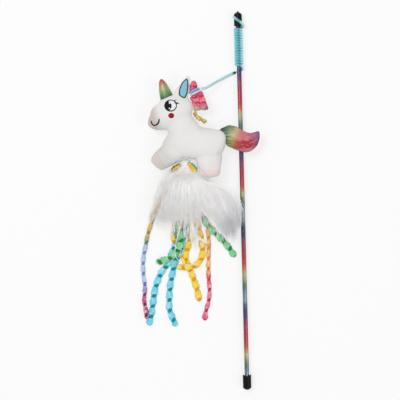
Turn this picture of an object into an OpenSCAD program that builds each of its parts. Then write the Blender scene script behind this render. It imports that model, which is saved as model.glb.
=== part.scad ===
// A cat teaser wand that lies flat on a table, with its stuffed unicorn toy beside the rod.
// The rod lies along Y, the camera side is +Z, and the toy is on the -X side.
// The origin is on the rod's axis, at the middle of the lower cap's straight wall.

/* [Rod and caps] */
// Diameter of the rod
rod_d = 4.8; // [4:0.1:6]
// Length of the rod from end to end
rod_l = 390; // [300:5:600]
// Outer diameter of the lower end cap
lower_cap_d = 8.8; // [8.4:0.1:10]
// Outer diameter of the upper end cap
upper_cap_d = 8.4; // [8:0.1:10]
// Length of a cap's straight round wall
cap_wall_l = 12; // [10:0.5:20]
// Height of the dome on a cap's closed end
cap_dome_h = 2.5; // [1:0.1:4]
// Thickness of the rubber between the rod's end and the dome
cap_floor = 0.8; // [0.5:0.1:2]
// How far the horns of the lower cap's mouth stand over its middle
cap_saddle = 2; // [0.5:0.1:3]
// Gap all round between the rod and a cap's socket
socket_clearance = 0.05; // [0.02:0.01:0.2]

/* [Elastic] */
// Diameter of the elastic cord
cord_d = 2.2; // [1.8:0.05:2.25]
// Rise of the winding in each turn
winding_pitch = 2.66; // [2.66:0.02:3]
// Number of whole turns in the winding
winding_turns = 14; // [6:1:20]
// Gap between a cord and what it is wound on
cord_gap = 0.1; // [0.05:0.05:0.3]
// Radius of the tie's turns round the mane, to the middle of the cord
tie_r = 5.2; // [5:0.1:5.4]

/* [Toy] */
// Thickness of the stuffed body
toy_thick = 28; // [24:0.5:30]
// Thickness of the head
head_thick = 25; // [20:0.5:30]
// Thickness of a leg at its thickest
leg_thick = 22; // [16:0.5:24]
// Thickness of the horn at its foot
horn_thick = 11; // [8:0.5:13]
// Thickness of the ear
ear_thick = 7; // [5:0.5:8]
// Thickness of the ear's lining
lining_thick = 0.8; // [0.5:0.1:1.5]
// Thickness of the tail
tail_thick = 12; // [9:0.5:12.5]
// Thickness of the mane's curls
curl_thick = 10; // [7:0.5:12]
// Radius of the tail's round foot, which turns in a hollow of the rump
tail_foot_r = 8; // [6:0.2:8.4]
// Depth of the flat that the body lies on
body_flat = 0.5; // [0.2:0.1:1]

/* [Plume] */
// Thickness of one downy feather
feather_thick = 4.2; // [3:0.2:4.4]
// Width of a plush ribbon at its widest
ribbon_w = 6.4; // [5:0.2:6.6]
// Width of the two tightly rolled ribbons
rolled_w = 4.4; // [3.6:0.2:4.8]
// Thickness of a ribbon
ribbon_thick = 3.6; // [2.6:0.2:3.8]
// Width of a ribbon where the binding gathers it
ribbon_root_w = 1.7; // [1.2:0.1:1.8]
// Length of one half twist of a ribbon
ribbon_twist = 11; // [9:0.5:14]

/* [Hidden] */

// The wand: stations along Y
rod_r = rod_d / 2;
lower_cap_r = lower_cap_d / 2;
upper_cap_r = upper_cap_d / 2;
cord_r = cord_d / 2;
round_fn = 96;
rod_end_y = cap_wall_l / 2 - cap_floor;
upper_cap_y = rod_l - 2 * rod_end_y;
mouth_y = upper_cap_y - cap_wall_l / 2;
function arc_r(half_width, height) = (half_width * half_width + height * height) / (2 * height);
saddle_r = arc_r(lower_cap_r, cap_saddle);
nub_r = 0.9;
nub_h = 1.4;

// The elastic on the wand: its lead crosses the upper cap and then winds down the rod
cord_sides = 6;
turn_rings = 24;
wind_r = rod_r + cord_r + cord_gap;
over_cap_r = upper_cap_r + cord_r + cord_gap;
lead_angle = 150;
lead_y = mouth_y + 9.6;
hole_clearance = 0.15;
wind_start_y = mouth_y - cord_r - 1.2;
half_turn_rings = turn_rings / 2;
wind_rings = winding_turns * turn_rings + half_turn_rings;
wind_end_y = wind_start_y - winding_pitch * (winding_turns + 0.5);
exit_drop = 7.5;
exit_y = wind_end_y - exit_drop;
table_z = -wind_r - cord_r;

// The toy and the free elastic: x from the rod's axis, y from the exit, z from the table
mid_z = toy_thick / 2;
seat = 0.3;
hinge_gap = cord_r + seat;
table_frame = [0, exit_y, table_z];
exit_hinge = [-rod_r - hinge_gap, 0, cord_r];
cord_ring_sides = 8;

// Route of the free elastic, from the exit hinge to the hinge at the tie
root_route = [exit_hinge, [-6.5, -1.1, 1.3], [-9.3, -2.3, 1.7], [-12, -3.5, 2.3]];
swing_hinge = root_route[3];
tether_route = [
    swing_hinge, [-15, -5, 3.1], [-18.4, -6.8, 4.3], [-22, -8.7, 6], [-25.8, -10.8, 8],
    [-29.5, -13, 10.2], [-33, -15, 12.1], [-36.4, -16.4, 13.5], [-40, -17, 14],
];
tie_hinge = tether_route[8];

// The tie's axis leans to the left of the rod
tie_axis = [-0.5, 0.866, 0];
tie_across = [0.866, 0.5, 0];
tie_turns = 2;
tie_pitch = cord_d + 0.5;
tie_centre = tie_hinge - (tie_r + cord_r + hinge_gap) * [0.94, 0.36, 0];
waist_r = tie_r - cord_r - cord_gap;

// Smooth curve through rows of numbers, with k steps between two rows
function between(a, b, c, d, t) =
    0.5 * (2 * b + (c - a) * t + (2 * a - 5 * b + 4 * c - d) * t * t
    + (3 * b - a - 3 * c + d) * t * t * t);
function smooth(rows, k) = let (last = len(rows) - 1) [
    for (i = [0:last - 1], s = [0:k - 1])
        between(rows[max(i - 1, 0)], rows[i], rows[i + 1], rows[min(i + 2, last)], s / k),
    rows[last],
];
function place(row) = [row[0], row[1], row[2]];
function unit(v) = v / norm(v);
function heading(rows, i) =
    unit(place(rows[min(i + 1, len(rows) - 1)]) - place(rows[max(i - 1, 0)]));

// One ring of a sweep: row 3 is the half width across, and row 4 the half height
function ring(rows, i, n, up, low, high) =
    let (row = rows[i], t = heading(rows, i), s = unit(cross(t, up)), u = cross(s, t)) [
        for (j = [0:n - 1])
            let (p = place(row) + s * row[3] * cos(360 * j / n) + u * row[4] * sin(360 * j / n))
            [p[0], p[1], min(max(p[2], low), high)],
    ];
function sweep_faces(m, n) = [
    for (i = [0:m - 2], j = [0:n - 1]) [i * n + j, i * n + (j + 1) % n, (i + 1) * n + (j + 1) % n],
    for (i = [0:m - 2], j = [0:n - 1]) [i * n + j, (i + 1) * n + (j + 1) % n, (i + 1) * n + j],
    for (j = [0:n - 1]) [m * n, (j + 1) % n, j],
    for (j = [0:n - 1]) [m * n + 1, (m - 1) * n + j, (m - 1) * n + (j + 1) % n],
];

// A solid swept along rows, with a nose of the given length on each end; span keeps only the
// rows from one number to another
module sweep(rows, n, noses = [0, 0], up = [0, 0, 1], low = -1000, high = 1000, span = undef) {
    a = is_undef(span) ? 0 : span[0];
    b = is_undef(span) ? len(rows) - 1 : span[1];
    first = place(rows[a]) - noses[0] * heading(rows, a);
    last = place(rows[b]) + noses[1] * heading(rows, b);
    rings = [for (i = [a:b]) each ring(rows, i, n, up, low, high)];
    polyhedron(points = [each rings, first, last], faces = sweep_faces(b - a + 1, n));
}

// A cord of one width along points, with its ends cut flat or rounded to a ball
function ball_end(p, d, r) = [[each (p + d * r * 0.7), r * 0.7, r * 0.7]];
function cord_rows(points, r, ball_start, ball_finish) =
    let (last = len(points) - 1)
    [
        if (ball_start) each ball_end(points[0], unit(points[0] - points[1]), r),
        for (p = points) [each p, r, r],
        if (ball_finish) each ball_end(points[last], unit(points[last] - points[last - 1]), r),
    ];
module cord(points, r, n, ball_start, ball_finish) {
    noses = [ball_start ? r * 0.3 : 0, ball_finish ? r * 0.3 : 0];
    sweep(cord_rows(points, r, ball_start, ball_finish), n, noses);
}

module on_table() translate(table_frame) children();

// Rod and caps
module rod() color("#8a3f5c")
    translate([0, -rod_end_y, 0]) rotate([-90, 0, 0]) cylinder(h = rod_l, r = rod_r, $fn = round_fn);

// A cap along Z with its closed end down: the socket takes the rod
module cap_shape(cap_r, horns) {
    wall_top = cap_wall_l / 2;
    dome_sphere_r = arc_r(cap_r, cap_dome_h);
    difference() {
        union() {
            translate([0, 0, -wall_top]) cylinder(h = cap_wall_l + horns, r = cap_r, $fn = round_fn);
            intersection() {
                translate([0, 0, -wall_top - cap_dome_h])
                    cylinder(h = cap_dome_h, r = cap_r, $fn = round_fn);
                translate([0, 0, -wall_top - cap_dome_h + dome_sphere_r])
                    sphere(r = dome_sphere_r, $fn = round_fn);
            }
        }
        translate([0, 0, -rod_end_y - socket_clearance])
            cylinder(h = rod_l, r = rod_r + socket_clearance, $fn = round_fn);
        if (horns > 0)
            translate([0, 0, wall_top + saddle_r]) rotate([90, 0, 0])
                cylinder(h = 4 * cap_r, r = saddle_r, center = true, $fn = round_fn);
    }
}
module lower_end_cap() color("#1c1b20") rotate([-90, 0, 0]) cap_shape(lower_cap_r, cap_saddle);
module upper_end_cap() color("#1c1b20") translate([0, upper_cap_y, 0]) difference() {
    union() {
        rotate([90, 0, 0]) cap_shape(upper_cap_r, 0);
        translate([0, cap_wall_l / 2 + cap_dome_h - 0.4, 0]) rotate([-90, 0, 0])
            cylinder(h = nub_h, r = nub_r, $fn = round_fn);
    }
    translate([0, lead_y - upper_cap_y, 0]) rotate([0, -lead_angle, 0]) rotate([0, 90, 0])
        cylinder(h = upper_cap_d, r = cord_r + hole_clearance, $fn = round_fn);
}

// A point of the winding, from its angle round the rod, radius and place along the rod
function around(angle, r, y) = [r * cos(angle), y, r * sin(angle)];
lead_stations = [
    [lead_angle, rod_r + 0.4, lead_y], [lead_angle, rod_r + 0.4 + cord_d, lead_y],
    [lead_angle - 5, over_cap_r - 0.05, lead_y - 0.2], [lead_angle - 14, over_cap_r, lead_y - 0.8],
    [120, over_cap_r, lead_y - 1.9], [100, over_cap_r, lead_y - 3.3],
    [80, over_cap_r, lead_y - 4.7], [60, over_cap_r, lead_y - 6.1],
    [40, over_cap_r, lead_y - 7.5], [20, over_cap_r, lead_y - 8.9],
    [5, over_cap_r, lead_y - 9.9], [-10, over_cap_r - 0.15, lead_y - 10.6],
    [-30, over_cap_r - 0.75, mouth_y - 1.5], [-48, wind_r + 0.75, mouth_y - 1.8],
    [-66, wind_r + 0.25, mouth_y - 2.05], [-80, wind_r + 0.05, mouth_y - 2.2],
];
exit_stations = [
    [75, wind_r, 0.3], [60, wind_r, 0.8], [45, wind_r, 1.5], [30, wind_r, 2.2], [15, wind_r, 2.9],
    [0, wind_r, 3.6], [-15, wind_r, 4.2], [-30, wind_r, 4.7], [-45, wind_r, 5.2],
    [-60, wind_r, 5.6], [-75, wind_r, 6], [-90, wind_r, 6.4],
];
winding_points = [
    for (s = lead_stations) around(s[0], s[1], s[2]),
    for (i = [0:wind_rings])
        around(-90 - 360 * i / turn_rings, wind_r, wind_start_y - winding_pitch * i / turn_rings),
    for (s = exit_stations) around(s[0], s[1], wind_end_y - s[2]),
    [-rod_r, wind_end_y - exit_drop + 0.4, -wind_r],
];
gap_reach = floor(turn_rings * 1.6);
winding_gap = min([
    for (i = [0:len(winding_points) - 1], j = [i + half_turn_rings:i + gap_reach])
        if (j < len(winding_points)) norm(winding_points[i] - winding_points[j]) - cord_d,
]);
module cord_winding() color("#55c4d6") {
    echo(winding_loops = winding_turns, winding_least_gap = winding_gap);
    rows = [for (p = winding_points) [each p, cord_r, cord_r]];
    sweep(rows, cord_sides, up = [0, 1, 0]);
}

// Free elastic, in two links: each link's ball end is the next one's hinge
module tether_root() color("#7fd0e0") on_table()
    cord(root_route, cord_r, cord_ring_sides, true, true);
module tether_cord() color("#7fd0e0") on_table() {
    away = unit(tether_route[1] - swing_hinge);
    points = [swing_hinge + away * hinge_gap, for (i = [1:len(tether_route) - 1]) tether_route[i]];
    cord(points, cord_r, cord_ring_sides, false, true);
}

// The elastic's turns round the mane, with a straight tail at each end
tie_steps = tie_turns * turn_rings;
function tie_point(i) = let (a = -90 + 360 * i / turn_rings)
    tie_centre + tie_axis * tie_pitch * (i / turn_rings - tie_turns / 2)
    + tie_across * tie_r * cos(a) + [0, 0, tie_r * sin(a)];
tie_points = [for (i = [0:tie_steps]) tie_point(i)];
tie_gap = min([
    for (i = [0:tie_steps], j = [i + half_turn_rings:i + gap_reach])
        if (j <= tie_steps) norm(tie_points[i] - tie_points[j]) - cord_d,
]);
module mane_tie() color("#8fb6e0") on_table() {
    echo(tie_loops = tie_turns, tie_least_gap = tie_gap);
    out = unit(tie_points[0] - tie_points[1]) * cord_d;
    on = unit(tie_points[tie_steps] - tie_points[tie_steps - 1]) * cord_d;
    points = [tie_points[0] + out, each tie_points, tie_points[tie_steps] + on];
    sweep([for (p = points) [each p, cord_r, cord_r]], cord_sides, up = tie_axis);
}

// Stuffed pieces: rows of x, y, half width and half height as a share of the thickness
function stuffed(rows, thick, z = mid_z) = [for (r = rows) [r[0], r[1], z, r[2], r[3] * thick / 2]];
module stuffed_piece(rows, thick, steps, sides, noses) {
    sweep(smooth(stuffed(rows, thick), steps), sides, noses, low = 0);
}
torso_rows = [
    [-17.4, -78.6, 4.6, 0.3], [-19.2, -78, 10.8, 0.62], [-23.5, -76.5, 15.4, 0.86],
    [-30, -76.1, 16.7, 0.98], [-38, -75, 17, 1.03], [-49, -73.4, 17, 1.03], [-60, -73.2, 16, 1],
    [-70, -75, 13.4, 0.84], [-77.5, -76.2, 9.4, 0.6], [-82, -76.6, 5, 0.34],
];
neck_rows = [
    [-58.5, -66, 18, 0.9], [-60, -60, 17, 0.9], [-62.3, -54, 15.3, 0.87],
    [-63.3, -48.5, 14.2, 0.8], [-63.7, -44, 11.6, 0.66], [-63.8, -41, 7, 0.4],
];
head_rows = [
    [-96.2, -47.6, 4.2, 0.25], [-94, -48, 8.9, 0.52], [-88.5, -47.4, 12.2, 0.76],
    [-80.5, -44.7, 14.9, 0.92], [-71.5, -40.7, 17.1, 1], [-62, -36.4, 15.2, 0.98],
    [-55, -33.2, 10, 0.72], [-51.4, -31.4, 5, 0.4],
];
front_leg_rows = [
    [-69, -80.5, 12, 1], [-77, -85.6, 11.7, 1], [-85, -91.2, 10.1, 0.88],
    [-88, -94.4, 9, 0.7], [-89.8, -96.4, 7.5, 0.48],
];
hind_leg_rows = [
    [-33.5, -80, 13.5, 1], [-34, -89, 13.8, 1], [-33.7, -96, 13, 0.95],
    [-32.3, -102, 10.6, 0.86], [-31.9, -106.5, 9.2, 0.74], [-31.8, -109.2, 6.8, 0.5],
];
front_hoof_row = 2;
hind_hoof_row = 3;
leg_steps = 3;
body_sides = 20;
leg_sides = 16;

// Part of a leg's sweep from one row to another, so that leg and hoof share one ring
module leg_part(rows, first, last, noses) {
    span = [first * leg_steps, last * leg_steps];
    sweep(smooth(stuffed(rows, leg_thick), leg_steps), leg_sides, noses, span = span);
}
module torso_shape() {
    stuffed_piece(torso_rows, toy_thick + body_flat, 3, body_sides, [0.8, 0.8]);
    stuffed_piece(neck_rows, toy_thick - 2, 3, body_sides, [0, 1]);
}
module head_shape() stuffed_piece(head_rows, head_thick, 3, body_sides, [0.8, 0.8]);
module torso() color("#f4f2f1") on_table() difference() {
    torso_shape();
    translate(tail_hinge)
        cylinder(h = 2 * toy_thick, r = tail_foot_r + seat, center = true, $fn = 48);
}
module head() color("#f6f4f3") on_table() difference() {
    head_shape();
    torso_shape();
}
module front_leg() color("#efedec") on_table() difference() {
    leg_part(front_leg_rows, 0, front_hoof_row, [1, 0]);
    torso_shape();
}
module front_hoof() color("#e5d3cf") on_table()
    leg_part(front_leg_rows, front_hoof_row, len(front_leg_rows) - 1, [0, 1.2]);
module hind_leg() color("#efedec") on_table() difference() {
    leg_part(hind_leg_rows, 0, hind_hoof_row, [1, 0]);
    torso_shape();
}
module hind_hoof() color("#e5d3cf") on_table()
    leg_part(hind_leg_rows, hind_hoof_row, len(hind_leg_rows) - 1, [0, 0.8]);

// Horn and ear stand out of the head, and the ear's front is flat under its lining
horn_rows = [
    [-75.6, -28.5, 6.6, 1], [-77.2, -23.5, 6.5, 0.98], [-78.9, -17.6, 5.5, 0.84],
    [-80.4, -12.3, 4.2, 0.66], [-81.6, -8.1, 2.6, 0.42], [-82.1, -6.3, 1.3, 0.22],
];
ear_rows = [
    [-62.8, -28, 7.8, 1], [-61.4, -22.3, 7.5, 1], [-58.9, -17.1, 6.7, 1], [-56.6, -11.4, 4.9, 0.96],
    [-54.4, -6.2, 3.1, 0.86], [-53.4, -3, 1.5, 0.5],
];
lining_rows = [
    [-60.7, -24, 2.8], [-60.1, -21.6, 4.2], [-58.8, -17.1, 4.3], [-57.2, -12.4, 3.1],
    [-55.8, -8.6, 1.7], [-55.2, -6.9, 0.6],
];
ear_z = mid_z + 3;
ear_front_z = ear_z + ear_thick * 0.36;
module horn() color("#b98a5e") on_table() difference() {
    stuffed_piece(horn_rows, horn_thick, 2, 12, [0.5, 0.7]);
    head_shape();
}
module ear() color("#f3f1f2") on_table() difference() {
    sweep(smooth(stuffed(ear_rows, ear_thick, ear_z), 2), 12, [0.5, 0.7], high = ear_front_z);
    head_shape();
}
module ear_lining() color("#8accdd") on_table() {
    rows = smooth([for (r = lining_rows) [r[0], r[1], r[2]]], 2);
    left_side = [for (i = [0:len(rows) - 1]) lining_edge(rows, i, -1)];
    right_side = [for (i = [len(rows) - 1:-1:0]) lining_edge(rows, i, 1)];
    translate([0, 0, ear_front_z]) linear_extrude(lining_thick)
        polygon([each left_side, each right_side]);
}
function lining_edge(rows, i, side) =
    let (a = rows[max(i - 1, 0)], b = rows[min(i + 1, len(rows) - 1)])
    let (t = unit([b[0] - a[0], b[1] - a[1]]))
    [rows[i][0] + side * rows[i][2] * t[1], rows[i][1] - side * rows[i][2] * t[0]];

// The mane: a stem through the tie swells to the top curl, and the other curls hang below it
function flat_rows(rows, thick) = [for (r = rows) [r[0], r[1], mid_z, r[2], min(r[2], thick / 2)]];
module mane_top_curl() color("#e85f96") on_table() {
    stem = [for (s = [-3.4, 0, 3]) [each (tie_centre + tie_axis * s), waist_r, waist_r]];
    top = tie_centre + tie_axis * 3;
    crown = [[1, 3.2, 4.1], [2, 6, 3.6], [2.6, 8, 2.1]];
    curl = [for (c = crown) [top[0] + c[0], top[1] + c[1], top[2], c[2], c[2]]];
    sweep(smooth([each stem, each curl], 2), 12, [1, 1.2]);
}
front_curl_rows = [
    [-50.2, -25.4, 1.2], [-48.8, -27.5, 2.6], [-47, -31, 3.2], [-46, -34.6, 2.8],
    [-45.3, -37.4, 3.1], [-45, -39.3, 1.9],
];
rear_curl_rows = [
    [-41.4, -21.7, 1.8], [-40.6, -24.2, 3.7], [-39.9, -27.6, 4.1], [-39, -31, 3.6],
    [-38, -34.2, 4.4], [-37.3, -37.3, 4.2], [-37, -39.3, 2.6],
];
yellow_strip_rows = [
    [-46.6, -40.7, 1.2], [-47.3, -42.8, 1.6], [-46.8, -45, 1.2], [-45, -46.8, 1.5],
    [-42.6, -48.2, 1.8], [-40.4, -49.4, 1.3], [-38.2, -50.8, 1.8], [-36.7, -52.2, 1.6],
];
module mane_front_curl() color("#f07aa6") on_table()
    sweep(smooth(flat_rows(front_curl_rows, curl_thick), 2), 12, [0.8, 1]);
module mane_rear_curl() color("#ec5f8d") on_table()
    sweep(smooth(flat_rows(rear_curl_rows, curl_thick), 2), 12, [0.8, 1]);
module mane_yellow_strip() color("#ecd45e") on_table()
    sweep(smooth(flat_rows(yellow_strip_rows, curl_thick), 2), 8, [0.6, 0.8]);

// The tail's foot is round about its hinge, so that it turns in the hollow of the rump
tail_hinge = [-11.3, -67, mid_z];
tail_foot_rows = [
    for (back = [7.4, 6, 3.6])
        let (half_w = sqrt(max(tail_foot_r * tail_foot_r - back * back, 1)))
        [tail_hinge[0] - back, tail_hinge[1], half_w, 0.95 * half_w / tail_foot_r],
];
tail_rows = [
    each tail_foot_rows, [-11.9, -66.9, 9.6, 0.98], [-9, -67.6, 10.9, 1], [-4.2, -69.6, 11.2, 1],
    [2.1, -71.9, 10.1, 0.96], [8, -72.5, 8.4, 0.84], [13, -70.6, 6.8, 0.68],
    [16.6, -67.1, 3.9, 0.44], [18.4, -64.4, 1.5, 0.2],
];
module tail() color("#c4556e") on_table()
    stuffed_piece(tail_rows, tail_thick, 2, 12, [0.6, 0.7]);

// The plume: a thread binding at the belly, seven feathers and eight ribbons
plume_hinge = [-58.5, -92.6, mid_z];
binding_rows = [
    [0, 2.4, 1.8, 0.4], [0, 1.3, 4, 0.8], [0, -0.6, 5.6, 1], [0, -2.4, 5.4, 0.9], [0, -3.2, 4, 0.7],
];
binding_thick = 10;
module plume_binding() color("#eceae6") on_table()
    sweep(
        smooth([
            for (r = binding_rows) [
                plume_hinge[0] + r[0], plume_hinge[1] + r[1], mid_z, r[2], r[3] * binding_thick / 2,
            ],
        ], 2),
        12, [0.3, 0.2]
    );

// Feathers fan out of the binding above the ribbons: three places on the spine, and the width.
// Every other feather lies in the upper of two layers, so that neighbours lap without touching.
feather_root_y = plume_hinge[1] - 3.8;
feather_root_z = mid_z + 1;
feather_tip_z = mid_z - 1.5;
feather_root_w = 1.6;
layer_gap = 0.15;
feathers = [
    [-64.8, [-76.5, -107.5], [-84, -124], [-89.5, -140.2], [-93, -154.5], 14],
    [-62.7, [-71.8, -114.4], [-79, -133.2], [-82.8, -148.8], [-84.2, -162.4], 17],
    [-60.6, [-64.8, -117], [-68.3, -138], [-70.8, -156], [-71.6, -168.5], 18],
    [-58.5, [-57.8, -117.4], [-56.5, -138], [-55.9, -156], [-55, -168.5], 17],
    [-56.4, [-52.8, -117.8], [-45.2, -136], [-39.4, -154], [-36.6, -170], 17],
    [-54.3, [-46.2, -115.6], [-34.6, -131], [-25.5, -149], [-19.5, -169], 18],
    [-52.2, [-43.6, -112.5], [-28, -121.4], [-14.5, -132], [-8.5, -151], 14],
];
function feather_row(place, z, half_w, half_t, layer) =
    [place[0], place[1], z + layer * (half_t + layer_gap), half_w, half_t];
module feather(f, layer) {
    tip = f[4] + 0.25 * (f[4] - f[3]);
    drop = feather_root_z - feather_tip_z;
    thick = feather_thick / 2;
    rows = [
        feather_row([f[0], feather_root_y], feather_root_z, feather_root_w / 2, 0.8, layer),
        feather_row(f[1], feather_root_z - drop * 0.4, f[5] * 0.33, thick * 0.7, layer),
        feather_row(f[2], feather_root_z - drop * 0.8, f[5] * 0.5, thick, layer),
        feather_row(f[3], feather_tip_z, f[5] * 0.5, thick, layer),
        feather_row(f[4], feather_tip_z, f[5] * 0.36, thick * 0.7, layer),
        feather_row(tip, feather_tip_z, f[5] * 0.12, thick * 0.3, layer),
    ];
    sweep(smooth(rows, 2), 8, [0.3, 0.6]);
}
module feather_group(first, last) color("#f5f5f3") on_table() {
    for (i = [first:last]) feather(feathers[i], i % 2 == 0 ? -1 : 1);
}
module feathers_left() feather_group(0, 1);
module feathers_middle() feather_group(2, 4);
module feathers_right() feather_group(5, 6);

// A ribbon narrows and widens with its half twists, and is gathered to its root
root_y = plume_hinge[1] - 3.9;
root_z = mid_z - 2.6;
root_flare = 0.075;
low_z = ribbon_thick / 2;
high_z = low_z + ribbon_thick + 0.3;
half_twist_steps = 2;
function root(n) = [-66.3 + 2.1 * n, root_y, root_z];
function segment_steps(a, b) = max(1, round(norm(b - a) / ribbon_twist * half_twist_steps));
function ribbon_line(points) = let (last = len(points) - 1) [
    for (i = [0:last - 1]) let (k = segment_steps(points[i], points[i + 1])) for (s = [0:k - 1])
        between(
            points[max(i - 1, 0)], points[i], points[i + 1], points[min(i + 2, last)], s / k
        ),
    points[last],
];
function run_length(line, i) = i == 0 ? 0 : run_length(line, i - 1) + norm(line[i] - line[i - 1]);
module ribbon(points, width) {
    line = ribbon_line(points);
    rows = [
        for (i = [0:len(line) - 1])
            let (full = width / 2 * (i % half_twist_steps == 0 ? 0.84 : 1))
            let (half = min(full, ribbon_root_w / 2 + root_flare * run_length(line, i)))
            [each line[i], half, min(half, ribbon_thick / 2)],
    ];
    on_table() sweep(rows, cord_sides, [0.4, 0.9]);
}
left_points = [
    root(0), [-72, -104.5, 7.6], [-81.5, -113.5, 3.1], [-89.3, -128, 2.1], [-93.3, -147.5, low_z],
    [-99.7, -165.8, low_z], [-103.2, -181, low_z], [-105.8, -193, low_z], [-106.3, -207, low_z],
    [-104.8, -223, low_z], [-105.8, -237, low_z], [-104.8, -244.5, 3.6], [-104.2, -250, 5.7],
    [-104, -256.5, 6],
];
blue_outer_points = [
    root(1), [-68, -106, 7], [-71.5, -115, 3], [-74.7, -128, low_z], [-72.7, -144, low_z],
    [-68.7, -160, low_z], [-70.2, -174, low_z], [-74.7, -186, low_z], [-79.7, -198.5, low_z],
    [-88.9, -211.3, low_z], [-94.2, -226.3, low_z], [-97.2, -243, low_z], [-99.1, -253.2, low_z],
    [-101.5, -263.3, low_z],
];
blue_inner_points = [
    root(2), [-64.5, -107, 7], [-65.7, -116, 2.9], [-67, -128, low_z], [-65.3, -144, low_z],
    [-61.7, -160, low_z], [-63, -174, low_z], [-67.6, -187.5, low_z], [-72.8, -199.5, low_z],
    [-76, -211.6, low_z], [-78.4, -223.5, low_z], [-79.4, -234.6, low_z], [-79.7, -246.6, low_z],
    [-76.9, -255.8, low_z], [-73.1, -264.9, low_z],
];
green_curl_points = [
    root(3), [-61.3, -107, 9], [-61.5, -118, 6.5], [-60.5, -131, high_z], [-63, -146, high_z],
    [-67, -163, high_z], [-66, -177, high_z], [-71.5, -187.5, high_z], [-78.5, -193.6, high_z],
    [-86, -196, 4.8], [-91.5, -198, 2.2],
];
yellow_leg_points = [
    root(4), [-57.8, -107, 7], [-57.6, -117, 2.9], [-57.5, -130, low_z], [-56.5, -146, low_z],
    [-54.3, -161, low_z], [-55.6, -174, low_z], [-59.8, -185.5, low_z], [-61.3, -195, low_z],
    [-57, -205.5, low_z], [-53, -217.2, low_z], [-50.1, -227.4, low_z], [-47.9, -239.5, low_z],
];
yellow_arch_points = [
    root(5), [-53.5, -107, 7], [-51.3, -117, 2.9], [-49.8, -130, low_z], [-48, -145, low_z],
    [-47.2, -160, low_z], [-44.5, -175, low_z], [-43.1, -186.6, low_z], [-45.6, -196, 3],
    [-52, -202, high_z], [-60, -203.6, high_z], [-66, -203.2, high_z],
];
pink_points = [
    root(6), [-49.5, -106.5, 7], [-45.5, -116.5, 2.7], [-41.7, -130, low_z], [-39.5, -145, low_z],
    [-37.7, -160, low_z], [-36.6, -176, low_z], [-37.2, -194.5, low_z], [-37.6, -210.6, low_z],
    [-37.2, -222.6, low_z], [-37.1, -230.6, low_z], [-38.4, -240.7, low_z], [-41.2, -249.6, low_z],
    [-42.9, -259.7, low_z],
];
green_right_points = [
    root(7), [-45.5, -106, 9.2], [-41, -116, 6.7], [-38.5, -129, high_z], [-39.5, -142, high_z],
    [-40.6, -153.7, high_z], [-31.8, -165.9, high_z], [-23.5, -174.5, 4.9], [-16, -183.5, 2.5],
    [-9.4, -193.7, low_z],
];
module ribbon_left() color("#b7a8cf") ribbon(left_points, rolled_w);
module ribbon_blue_outer() color("#58bcd2") ribbon(blue_outer_points, ribbon_w);
module ribbon_blue_inner() color("#63c3d8") ribbon(blue_inner_points, ribbon_w);
module ribbon_green_curl() color("#8ccf9a") ribbon(green_curl_points, ribbon_w);
module ribbon_yellow_leg() color("#efc32f") ribbon(yellow_leg_points, ribbon_w);
module ribbon_yellow_arch() color("#f0c836") ribbon(yellow_arch_points, ribbon_w);
module ribbon_pink() color("#ee7f8f") ribbon(pink_points, rolled_w);
module ribbon_green_right() color("#8fd6a2") ribbon(green_right_points, ribbon_w);

rod();
lower_end_cap();
upper_end_cap();
cord_winding();
tether_root();
tether_cord();
mane_tie();
torso();
head();
front_leg();
front_hoof();
hind_leg();
hind_hoof();
horn();
ear();
ear_lining();
mane_top_curl();
mane_front_curl();
mane_rear_curl();
mane_yellow_strip();
tail();
plume_binding();
feathers_left();
feathers_middle();
feathers_right();
ribbon_left();
ribbon_blue_outer();
ribbon_blue_inner();
ribbon_green_curl();
ribbon_yellow_leg();
ribbon_yellow_arch();
ribbon_pink();
ribbon_green_right();
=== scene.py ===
"""Looks of a cat teaser wand: rainbow foil rod, stuffed unicorn on an elastic, downy plume and ribbons."""
import math

import bpy
import numpy as np
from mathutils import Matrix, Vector, noise
from mathutils.bvhtree import BVHTree


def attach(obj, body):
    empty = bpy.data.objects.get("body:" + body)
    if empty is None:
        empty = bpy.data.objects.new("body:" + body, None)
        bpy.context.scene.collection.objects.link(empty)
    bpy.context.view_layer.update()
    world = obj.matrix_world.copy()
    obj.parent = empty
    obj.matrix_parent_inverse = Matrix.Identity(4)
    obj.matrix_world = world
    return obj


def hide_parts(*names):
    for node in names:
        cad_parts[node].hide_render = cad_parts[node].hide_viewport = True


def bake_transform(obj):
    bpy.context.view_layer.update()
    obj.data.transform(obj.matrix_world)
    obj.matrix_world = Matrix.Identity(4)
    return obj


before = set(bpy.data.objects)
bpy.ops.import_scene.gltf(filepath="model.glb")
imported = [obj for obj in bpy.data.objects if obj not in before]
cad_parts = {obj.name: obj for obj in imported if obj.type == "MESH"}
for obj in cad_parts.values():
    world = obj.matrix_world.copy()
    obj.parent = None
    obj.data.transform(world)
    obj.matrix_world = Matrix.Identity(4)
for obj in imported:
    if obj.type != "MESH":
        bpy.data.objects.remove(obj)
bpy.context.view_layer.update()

MM = 0.001
FULL = 2 * math.pi
EXIT_Y = 325.23  # where the elastic leaves the rod, mm along the rod
TABLE_Z = -4.7  # the table under the rod's axis
MID_Z = 14.0  # middle of the stuffed toy above the table


# Places: x and y from the elastic's exit, z from the table, all in mm as in the CAD source
def spot(x, y, z=MID_Z):
    """A place in the toy's own frame, in metres in the row frame."""
    return np.array([x, EXIT_Y + y, TABLE_Z + z]) * MM


def between(a, b, c, d, t):
    """Catmull-Rom point between b and c."""
    return 0.5 * (2 * b + (c - a) * t + (2 * a - 5 * b + 4 * c - d) * t * t + (3 * b - a - 3 * c + d) * t**3)


def smooth(rows, k):
    """Rows with k steps between two of them."""
    rows = [np.array(r, float) for r in rows]
    last = len(rows) - 1
    out = [
        between(rows[max(i - 1, 0)], rows[i], rows[i + 1], rows[min(i + 2, last)], s / k)
        for i in range(last)
        for s in range(k)
    ]
    return np.array(out + [rows[last]])


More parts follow.
